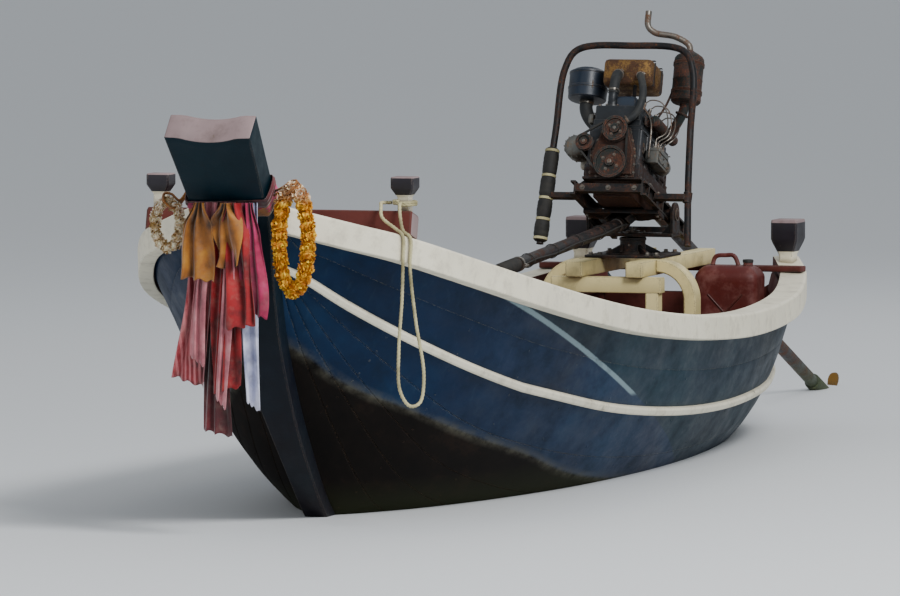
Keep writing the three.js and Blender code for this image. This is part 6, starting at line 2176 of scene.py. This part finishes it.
def petals(name, outer, inner, top, top_from):
    """Petal colours that differ from flower to flower, paler towards the top of the ring."""
    f = Finish(name, 0.7, Subsurface_Weight=0.15, Subsurface_Radius=(0.02, 0.01, 0.004))
    flower = f.noise(26, 1, 0.5)
    fleck = f.noise(260, 3, 0.6)
    tone = f.ramp(flower, (0.34, inner), (0.5, outer), (0.66, scaled(outer, 1.3)))
    paler = f.rise(f.minus(f.axis("Z"), top_from), 0.0, 0.045, 0.85)
    tone = f.mix(paler, tone, top)
    tone = f.mix(f.fall(fleck, 0.3, 0.55, 0.45), tone, inner)
    # Painted shade: darkened where the petals are shut in, towards the middle of each flower and of the ring
    tone = f.mix(f.hollows(0.02), tone, inner)
    f.bump(fleck, 0.0008, 0.7)
    return f.ends(tone)


def garland(name, at, width, height, size, rows, finish, slot, seed):
    """A ring of flower heads that hangs in a plane across the boat."""
    ring = []
    for a in spaced(0, tau, 97)[:-1]:
        ring.append(Vector((at.x, at.y + width / 2 * sin(a), at.z - height / 2 + height / 2 * cos(a))))
    around = sum((a - b).length for a, b in zip(ring, ring[1:] + ring[:1]))
    path = smooth_path(ring, max(8, round(around / (size * 1.12))) + 1, closed=True)[:-1]
    rank = random.Random(seed)
    spots = []
    for i, p in enumerate(path):
        along = (path[(i + 1) % len(path)] - path[i - 1]).normalized()
        away = Vector((rank.uniform(0.2, 1), rank.uniform(-1, 1), rank.uniform(-1, 1)))
        away = (away - along * away.dot(along) * 0.8).normalized()
        spots.append((tuple(p + away * size * 0.1), tuple(away)))
        back = (Vector((-0.8, 0, 0)) - away * 0.5 + along * 0.2).normalized()
        spots.append((tuple(p + back * size * 0.12 + along * size * 0.3), tuple(back)))
    head = flower_head(size, rows, seed)
    repeated(name, head, spots, finish, slot, [name.replace("_flowers", "")], 0.16, 0.3, seed, 180)


MARIGOLD = petals("marigold petals", "fdc62c", "b87010", "f6eed6", 1.43)
JASMINE = petals("white petals", "ece4cc", "b08c50", "f6f2e6", 1.36)


def garland_tie(name, top, side):
    """A twist of cloth that carries a garland from the band round the stem."""
    band = Vector((3.70, side * 0.165, 1.482))
    out = [
        band, band + Vector((0.012, side * 0.028, 0.006)),
        Vector((top.x - 0.01, top.y - side * 0.05, top.z + 0.006)),
        Vector((top.x - 0.012, top.y - side * 0.012, top.z + 0.032)),
        Vector((top.x, top.y + side * 0.014, top.z + 0.034)),
        Vector((top.x + 0.03, top.y + side * 0.006, top.z + 0.004)),
        Vector((top.x + 0.022, top.y - side * 0.03, top.z - 0.026)),
        Vector((top.x - 0.012, top.y - side * 0.05, top.z - 0.010)),
        band + Vector((0.022, side * 0.026, -0.012)), band + Vector((0.006, 0, -0.014)),
    ]
    shape = Shape()
    laid_rope(shape, smooth_path(out, 150), 0.0065, 0.03)
    shape.made(name, GOLD_CLOTH, "cloth", smooth_angle=180)


def garlands():
    garland_tie("tie_yellow", Vector((3.745, 0.284, 1.498)), 1)
    garland_tie("tie_white", Vector((3.745, -0.280, 1.436)), -1)
    garland(
        "garland_yellow_flowers", Vector((3.745, 0.284, 1.498)), 0.128, 0.436, 0.039, (9, 11, 11, 8, 5),
        MARIGOLD, "yellow_flowers", 11,
    )
    garland(
        "garland_white_flowers", Vector((3.745, -0.280, 1.436)), 0.113, 0.196, 0.031, (7, 8, 7, 4), JASMINE,
        "white_flowers", 12,
    )


garlands()


# Stage
def stage():
    # The floor is at the waterline, so it stops at the planking and leaves the inside of the hull open
    reach = 80.0
    port = [Vector((x, room_half(x, 0, PLANK / 2), 0)) for x in spaced(-3.472, 2.36, 61)]
    port.append(Vector((2.41, 0, 0)))
    around = port + [Vector((p.x, -p.y, 0)) for p in reversed(port[:-1])]
    n = len(around)
    far = [Vector((p.x, p.y, 0)).normalized() * reach for p in around]
    mesh = bpy.data.meshes.new("floor")
    mesh.from_pydata(around + far, [], [(k, n + k, n + (k + 1) % n, (k + 1) % n) for k in range(n)])
    mesh.flip_normals()
    mesh.update()
    floor = bpy.data.objects.new("floor", mesh)
    scene.collection.objects.link(floor)
    pale = Finish("pale floor", 0.6)
    mesh.materials.append(pale.ends("dfe2e4"))
    world = bpy.data.worlds.new("studio")
    world.use_nodes = True
    world.node_tree.nodes["Background"].inputs["Color"].default_value = (0.88, 0.92, 0.97, 1)
    world.node_tree.nodes["Background"].inputs["Strength"].default_value = 0.52
    scene.world = world
    for name, at, width, power in (
        ("key light", (9, 9, 12), 5, 2300),
        ("fill light", (12, -8, 6), 8, 150),
        ("back light", (-12, 2, 9), 8, 260),
    ):
        lamp = bpy.data.lights.new(name, "AREA")
        lamp.size = width
        lamp.energy = power
        light = bpy.data.objects.new(name, lamp)
        light.location = at
        light.rotation_euler = (Vector((0, 0, 0.5)) - Vector(at)).to_track_quat("-Z", "Y").to_euler()
        scene.collection.objects.link(light)


stage()
